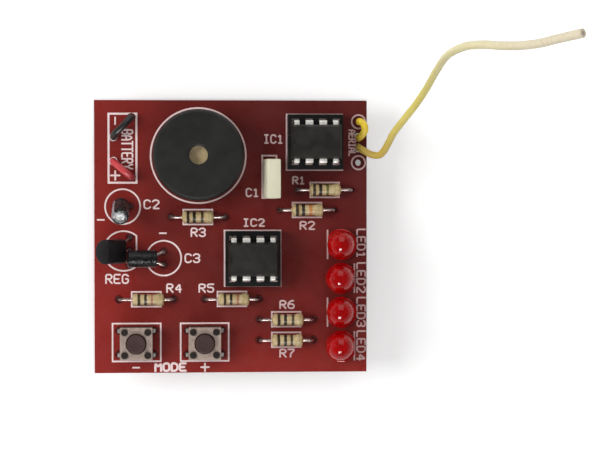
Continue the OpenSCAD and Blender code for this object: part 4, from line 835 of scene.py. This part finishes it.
def chip_legs():
    """Flat legs: out of the body, over a bend and down into the socket, where they narrow to a tip. The
    end legs of a row lack the outer part of their shoulder."""
    skins = []
    base = SEATED + 3.4
    for x, y in CHIPS:
        for row in PAIR:
            for k in ALONG:
                side = row * 1.5 * GRID
                width, shift = (0.95, -0.225 * np.sign(k)) if abs(k) > 1 else (1.4, 0)
                over = eased([(0, row * 2.6, 1.65), (0, side, 1.65), (0, side, 0.05)], 0.2, 5)
                flat = round_rect(width, 0.26, 0.06, 3)
                skins.append(posed(drawn(over, flat), (x + k * GRID + shift, y, base)))
                tip = [(0, side, 0.3), (0, side, -1.8), (0, side, -2.18)]
                narrow = drawn(tip, round_rect(0.5, 0.24, 0.05, 3), scale=[1, 1, 0.6])
                skins.append(posed(narrow, (x + k * GRID, y, base)))
    make("chip_legs_bent", skins, LEG, ["chip_legs"])


def lesser(a, b, soft):
    """Smooth lower bound of two heights: min(a, b) - h^2 soft / 4 with h = max(soft - |a - b|, 0) / soft."""
    h = np.maximum(soft - np.abs(a - b), 0) / soft
    return np.minimum(a, b) - h * h * soft / 4


def chip_bodies():
    """Moulded bodies as two height fields over 9.4 by 6.35 mm that meet at the parting line. With d the
    distance in from the nearest side, the upper is lesser(1.68 + 3.9 d, 3.3) and the lower 1.65 - 8.7 d,
    no less than 0; within 0.8 mm of the left end's middle the top is 0.5 mm lower."""
    side = np.linspace(0, 0.5, 15)
    x = np.concatenate([-4.7 + side, np.linspace(-4.15, -3.8, 8), np.linspace(-3.5, 4, 10), 4.7 - side[::-1]])
    y = np.concatenate([-3.175 + side, [-2.4, -1.6, -1.1], np.linspace(-0.9, 0.9, 37), [1.1, 1.6, 2.4],
                        3.175 - side[::-1]])
    gx, gy = np.meshgrid(x, y, indexing="ij")
    d = np.minimum(4.7 - np.abs(gx), 3.175 - np.abs(gy))
    dish = np.clip((np.hypot(gx + 4.7, gy) - 0.76) / 0.08, 0, 1)
    top = 3.3 - 0.5 * (1 - dish * dish * (3 - 2 * dish))
    upper = lesser(1.68 + 3.9 * d, top, 0.14)
    lower = -lesser(8.7 * d - 1.65, 0 * d, 0.1)
    rings = np.concatenate([np.stack([gx, gy, upper], -1), np.stack([gx, gy, lower], -1)[:, ::-1]], 1)
    for k, (cx, cy) in enumerate(CHIPS):
        make(f"chip_body_{k + 1}", [posed(skin(rings), (cx, cy, SEATED + 3.4))], EPOXY, [f"ic{k + 1}_chip"],
             sharp=50)


sounder()
dress(["ic1_socket", "ic2_socket"], SOCKET)
chip_bodies()
chip_legs()


# ---- resistors

BROWN, BLACK = (0.022, 0.009, 0.003), (0.006, 0.003, 0.0015)
GREEN, ORANGE = (0.075, 0.095, 0.012), (0.46, 0.17, 0.035)
RED, OLIVE = (0.30, 0.085, 0.040), (0.30, 0.23, 0.09)
# Each body's shift along its leads, its third band's colour, and its bands' places, half widths and covers
BODIES = [(0, GREEN, (-2.05, -0.89, 0.42, 1.77), (0.26, 0.28, 0.24, 0.22), (0.95, 0.98, 0.9, 0.45)),
          (0, ORANGE, (-1.94, -0.79, 0.56, 2.02), (0.28, 0.29, 0.30, 0.2), (0.95, 0.98, 0.9, 0.5)),
          (0, BROWN, (-1.83, -0.67, 0.81, 2.05), (0.25, 0.29, 0.24, 0.2), (0.95, 0.98, 0.93, 0.5)),
          (0.4, RED, (-1.73, -0.50, 0.67, 2.05), (0.24, 0.24, 0.19, 0.27), (0.92, 0.96, 0.8, 0.45)),
          (0.3, RED, (-1.65, -0.49, 0.76, 1.85), (0.24, 0.23, 0.20, 0.22), (0.92, 0.96, 0.8, 0.45)),
          (0.25, BROWN, (-1.72, -0.49, 0.89, 2.2), (0.26, 0.28, 0.25, 0.22), (0.95, 0.98, 0.9, 0.5)),
          (0.15, BROWN, (-1.65, -0.39, 0.76, 2.2), (0.26, 0.27, 0.24, 0.22), (0.95, 0.98, 0.93, 0.5))]


def resistors():
    """Bodies turned from a smooth profile with thicker ends; the lacquer creeps a little along the leads."""
    half = [(0, -3.04), (0.3, -3.02), (0.36, -2.92), (0.78, -2.84), (1.07, -2.68), (1.18, -2.38), (1.19, -2.05),
            (1.12, -1.75), (1.03, -1.45), (1.0, -1.1)]
    profile = threaded(half + [(r, -z) for r, z in half[::-1]], 3)
    profile[[0, -1], 0] = 0
    profile[:, 0] = np.clip(profile[:, 0], 0, 1.2)
    leads = []
    for k, ((x, y), (shift, third, *columns)) in enumerate(zip(RESISTORS, BODIES), 1):
        coat = resistor_coat(f"resistor_coat_{k}", zip(*columns, (BROWN, BLACK, third, OLIVE)))
        body = posed(turned(profile, 40), (x + shift, y, TOP + 1.3), (0, 90, 0))
        make(f"resistor_body_{k}", [body], coat, [f"resistor_r{k}"])
        for way in PAIR:
            end = x + way * 2 * GRID
            path = [(x + way * 2.5 + shift, y, TOP + 1.3), (end, y, TOP + 1.3), (end, y, STUB_END)]
            leads.append(wire(eased(path, 0.95, 8), 0.55, 14, (0, 1, 0)))
    make("resistor_wires", leads, TIN, ["resistor_leads"])


resistors()


# ---- capacitors and regulator

TILT = float(np.degrees(np.arctan((2.6 - 1.95) / 5.3)))
C3_MOUTH = (-19.1 + 5.3 * np.cos(np.radians(TILT)), C3[1], TOP + 1.95)
POSES = {"c2": ((C2[0] - 0.25, C2[1] + 0.25, TOP + 1.05), (22.5, 0, 0)), "c3": (C3_MOUTH, (0, TILT - 90, 0))}


def electrolytics():
    """Small cans in shrunk sleeves: a groove rolled over the bung, and the sleeve turned in over the top."""
    cans, bungs = [], []
    outer = threaded([(1.38, 0), (1.56, 0.12), (1.6, 0.5), (1.5, 0.85), (1.52, 1.0), (1.6, 1.35), (1.6, 4.8),
                      (1.56, 5.12), (1.38, 5.34), (0.88, 5.4)], 4)
    outer[:, 0] = np.minimum(outer[:, 0], 1.6)
    inner = [(0.88, 5.3), (1.36, 5.24), (1.4, 4.6), (1.4, 1.2), (1.33, 0.9), (1.38, 0.5)]
    can = [(0, 1.2), (1.36, 1.2), (1.36, 5.18), (1.2, 5.26), (0.95, 5.26), (0.85, 5.2), (0, 5.2)]
    bung = [(0, 0.28), (0.9, 0.28), (1.12, 0.18), (1.32, 0.4), (1.32, 1.15), (0, 1.15)]
    for name, stripe in (("c2", 165), ("c3", 262)):
        at, turn = POSES[name]
        skins = [posed(turned(np.vstack([outer, inner]), 64, loop=True), at, turn)]
        make(f"{name}_shrunk_sleeve", skins, sleeve(f"{name}_sleeve_plastic", stripe), [f"{name}_sleeve"])
        cans.append(posed(turned(eased(can, 0.06), 56), at, turn))
        bungs.append(posed(turned(eased(bung, 0.1), 48), at, turn))
    make("capacitor_cups", cans, CAN, ["capacitor_cans"])
    make("capacitor_stoppers", bungs, rubber(), ["capacitor_bungs"])


def film_box():
    """Moulded box on its short leads, leaning to the right."""
    body = box(2.5, 7.2, 6.5, 0.1, 0.1)
    make("film_capacitor_box", [posed(body, (FILM[0], FILM[1] - 0.35, TOP + 0.4), (0, 5, 0))], FILM_BOX,
         ["film_capacitor"])


def bent_lead(x, y, rise, mouth, way):
    """A lead up through its hole, over to the mouth of its body and 1.1 mm in."""
    path = [(x, y, STUB_END), (x, y, TOP + rise), mouth, mouth + 1.1 * np.array(way)]
    return wire(eased(path, 0.35, 5), 0.55)


def capacitor_wires():
    """Leads of the three capacitors, each through its hole, over to the body and a little way in."""
    x, y = FILM
    wires = [wire([(x, y + k * GRID, z) for z in (STUB_END, TOP, TOP + 1.3)], 0.55) for k in PAIR]
    lean, tilt = np.radians(22.5), np.radians(TILT)
    for side in PAIR:
        mouth = np.array(POSES["c2"][0]) + [side * 0.7, 0, 0]
        wires.append(bent_lead(C2[0] + side * GRID / 2, C2[1], 0.45, mouth, (0, -np.sin(lean), np.cos(lean))))
        mouth = np.array(C3_MOUTH) - [0, side * 0.7, 0]
        wires.append(bent_lead(C3[0], C3[1] - side * GRID / 2, 1.65, mouth, (-np.cos(tilt), 0, np.sin(tilt))))
    make("capacitor_wires", wires, TIN, ["capacitor_leads"])


def regulator():
    """Half-round body, leaning over on three thin legs."""
    lean = np.radians(41)
    run = (2.33 * np.sin(lean) + 0.15) / np.cos(lean)
    up = np.array([-np.sin(lean), 0, np.cos(lean)])
    at = np.array([*REGULATOR, TOP]) + run * up
    body = block(lambda s: d_shape(2.3 - s, 1.3 - s, 0.3) - [0.03, 0], 4.6, 0.16, 0.04, 4)
    make("regulator_case", [posed(body, at, (0, -41, 0))], MATTE, ["regulator_body"])
    legs = []
    for k in (-1, 0, 1):
        foot = np.array([REGULATOR[0], REGULATOR[1] + k * GRID, TOP])
        knee = np.array([REGULATOR[0], REGULATOR[1] + k * GRID / 2, TOP]) + (run - 0.4) * up
        path = eased([foot - [0, 0, 3.5], foot, knee, knee + 1.3 * up], 0.3, 5)
        legs.append(drawn(path, round_rect(0.42, 0.42, 0.08, 3)))
    make("regulator_wires", legs, TIN, ["regulator_legs"])


electrolytics()
film_box()
capacitor_wires()
regulator()


# ---- lamps

LEANS = [(-2, -6), (-3, -8), (-4, -7), (-4, -7)]


def lamp(i):
    """Domed lens on a flange with one flat side: a profile turned round, then cut to x <= 2.5."""
    x, y = LAMPS[i]
    a = np.linspace(0, np.pi / 2, 22)[1:]
    profile = [(0, 0), (2.78, 0), (2.88, 0.04), (2.9, 0.12), (2.9, 0.86), (2.88, 0.96), (2.8, 1.0),
               (2.56, 1.02), (2.5, 1.1), (2.49, 3.5), (2.47, 6.1),
               *zip(2.47 * np.cos(a), 6.1 + 2.47 * np.sin(a))]
    profile[-1] = (0, 8.57)
    body = turned(profile, 72)
    body[0][:, 0] = np.minimum(body[0][:, 0], 2.5)
    body = posed(body, turn=(0, 0, 180 if i % 2 == 0 else 0))
    body = posed(body, (x, y, TOP + 0.6), (*LEANS[i], 0))
    make(f"lamp_lens_{i + 1}", [body], LENS, [f"led{i + 1}_lens"])


def lamp_frames():
    """Square posts inside each lens, one with the cup that holds the chip, the other with its anvil."""
    skins = []
    for i, (x, y) in enumerate(LAMPS):
        lx, ly = np.radians(LEANS[i])
        across = np.array([np.cos(ly), 0, -np.sin(ly)])
        up = np.array([np.cos(lx) * np.sin(ly), -np.sin(lx), np.cos(lx) * np.cos(ly)])
        cup = -1 if i % 2 == 0 else 1
        for side in PAIR:
            shift = side * GRID / 2
            foot = np.array([x, y, TOP + 0.6]) + shift * across
            path = [(x + shift, y, STUB_END), (x + shift, y, TOP + 0.3), foot, foot + 3.6 * up]
            path = eased(path, 0.15, 3)
            skins.append(drawn(path, round_rect(0.5, 0.5, 0.06, 3)))
        bowl = eased([(0, 0), (0.5, 0), (0.8, 0.7), (0.8, 1.1), (0.62, 1.1), (0.4, 0.5), (0, 0.45)], 0.1)
        place = np.array([x, y, TOP + 0.6]) + 3.4 * up
        skins.append(posed(turned(bowl, 28), place + cup * 0.97 * across, (*LEANS[i], 0)))
        skins.append(posed(box(0.8, 0.6, 1.1, 0.08, 0.1), place - cup * 1.17 * across, (*LEANS[i], 0)))
    make("lamp_lead_frames", skins, TIN, ["led_leadframes"])


for i in range(4):
    lamp(i)
lamp_frames()


# ---- buttons

def button(name):
    """Round plunger with its flange below; the top is dished by 0.05 mm and its rim rounded."""
    x, y = BUTTONS[name]
    r = np.linspace(0, 1.35, 8)
    dish = np.stack([r, 4.30 + 0.05 * (r / 1.35) ** 2], -1)
    side = eased([(1.35, 4.35), (1.75, 4.33), (1.75, 3.14), (2.05, 3.14), (2.05, 2.66), (0.2, 2.65)], 0.14)
    stem = posed(turned([*dish, *side[1:], (0, 2.65)], 72), (x, y, SEATED))
    make(f"{name}_plunger", [stem], PLUNGER, [f"{name}_button"], f"{name}_plunger")
    dress([f"{name}_switch_base"], SWITCH)
    dress([f"{name}_switch_cover"], PLATE)
    dress([f"{name}_dome"], SPRING)


def rivet_heads():
    """Posts of the bases melted over the covers: low domes of height 0.3 cos(pi r / 2R)."""
    r = np.linspace(0, 0.62, 9)
    profile = [*zip(r, 3.46 + 0.28 * np.cos(np.pi / 2 * r / 0.66) ** 0.6), (0.62, 3.3), (0, 3.3)]
    heads = [posed(turned(profile, 28), (x + i * 2.13, y + j * 2.13, SEATED))
             for x, y in BUTTONS.values() for i, j in CORNERS]
    make("button_rivet_heads", heads, SWITCH)


def button_legs():
    """Folded strips: out from the base, down its side and through the board."""
    legs = []
    for x, y in BUTTONS.values():
        for i, j in CORNERS:
            foot = (x + i * 3.25, y + j * 2.25)
            legs.append(drawn([(*foot, SEATED + 1.38), (*foot, TOP + 0.2)], round_rect(0.5, 0.7, 0.08, 3)))
            legs.append(drawn([(*foot, TOP + 0.2), (*foot, STUB_END + 0.1), (*foot, STUB_END)],
                              round_rect(0.45, 0.5, 0.08, 3), scale=[1, 1, 0.6]))
    make("button_leg_strips", legs, STRIP, ["switch_legs"])


for name in BUTTONS:
    button(name)
rivet_heads()
button_legs()


# ---- aerial

# Points along its middle, from its pad on the board's top
AERIAL_ROUTE = [(0, 0, 0.6), (0.35, -0.1, 1.7), (0.9, -0.8, 2.3), (0.95, -1.8, 2.1), (0.3, -2.8, 1),
                (0, -2.9, -0.8), (0, -3, -2.3), (0, -3.875, -2.85), (0, -4.75, -2.3), (0, -4.85, -0.8),
                (0.15, -4.95, 0.7),
                (1, -5.5, 1.5), (2.4, -6.2, 1.8), (3.8, -6.2, 2.6), (4.7, -4.9, 4.4), (5.8, -2.25, 7.4),
                (7.5, 0.4, 11), (9.1, 2.9, 15), (10.15, 5.45, 21), (10.5, 7.75, 30), (10.4, 9.35, 43.5),
                (11, 9.7, 57), (12.55, 9.4, 65), (14.4, 8.8, 71), (16.1, 8.4, 76.5), (17.8, 8.3, 82),
                (19.5, 8.6, 86.3), (21.3, 8.9, 89.7), (22.1, 9.05, 90.7)]


def aerial():
    """Stiff wire soldered in its pad, threaded down and up through two holes and bent up into the air."""
    path = threaded(np.array(AERIAL_ROUTE) + [*AERIAL, TOP], 8)
    make("aerial_wire_cover", [wire(path, 1.3, 20, rounded=0.14)], aerial_cover(), ["aerial_insulation"])
    tip = path[-1] + 0.03 * (path[-1] - path[-2])
    core = np.vstack([[(*AERIAL, STUB_END)], path, [tip]])
    make("aerial_wire_core", [wire(core, 0.6)], TIN, ["aerial_core"])


aerial()


# ---- studio

def floor():
    """White surface under the connector: its share of plain white seen by the camera is lifted so that only
    the shadow stays grey, and not under the board, where the holes look down on it."""
    mesh = bpy.data.meshes.new("floor")
    corners = np.array([(-1, -1, 0), (1, -1, 0), (1, 1, 0), (-1, 1, 0)]) * 3.0
    mesh.from_pydata(corners, [], [(0, 1, 2, 3)])
    p = Paint("white_floor", (0.92, 0.92, 0.92), 0.9)
    p.put(p.shader.inputs["Emission Color"], (1, 1, 1, 1))
    seen = p.add("ShaderNodeLightPath").outputs["Is Camera Ray"]
    x, y = (p.math("ABSOLUTE", p.part(p.place, axis)) for axis in (0, 1))
    clear = p.span(p.math("MAXIMUM", x, y), 25.4, 26.6)
    p.set(Emission_Strength=p.times(p.times(seen, clear), 0.31), Specular_IOR_Level=0.1)
    mesh.materials.append(p.material)
    linked("floor", mesh)


def lamp_over(name, place, size, power, mirrored=True):
    """Square soft light aimed at the board, which glossy surfaces may mirror or not."""
    data = bpy.data.lights.new(name, "AREA")
    data.shape = "SQUARE"
    data.size = size
    data.energy = power
    light = linked(name, data)
    light.location = place
    light.visible_glossy = mirrored
    light.rotation_euler = (Vector((0, 0, 0.01)) - Vector(place)).to_track_quat("-Z", "Y").to_euler()
    return light


def studio():
    scene = bpy.context.scene
    scene.view_settings.view_transform = "Standard"
    world = bpy.data.worlds.new("studio")
    world.use_nodes = True
    tree = world.node_tree
    place = tree.nodes.new("ShaderNodeTexCoord").outputs["Generated"]
    split = tree.nodes.new("ShaderNodeSeparateXYZ")
    tree.links.new(place, split.inputs[0])
    span = tree.nodes.new("ShaderNodeMapRange")
    span.interpolation_type = "SMOOTHSTEP"
    for name, value in (("From Min", 0.1), ("From Max", 0.55), ("To Min", 0.62), ("To Max", 0.10)):
        span.inputs[name].default_value = value
    tree.links.new(split.outputs["Z"], span.inputs["Value"])
    tree.links.new(span.outputs[0], tree.nodes["Background"].inputs["Strength"])
    tree.nodes["Background"].inputs["Color"].default_value = (1, 1, 1, 1)
    scene.world = world
    lamp_over("left_light", (-0.60, 0.08, 0.55), 0.45, 4.6, False)
    lamp_over("lower_light", (-0.02, -0.75, 0.70), 0.90, 2.7, False)
    lamp_over("upper_light", (0.10, 0.75, 0.70), 0.80, 2.5)
    lamp_over("right_light", (0.75, -0.05, 0.50), 0.80, 1.5, False)
    lamp_over("glint_light", (-0.08, -0.66, 0.66), 0.32, 6.5).visible_diffuse = False


floor()
studio()
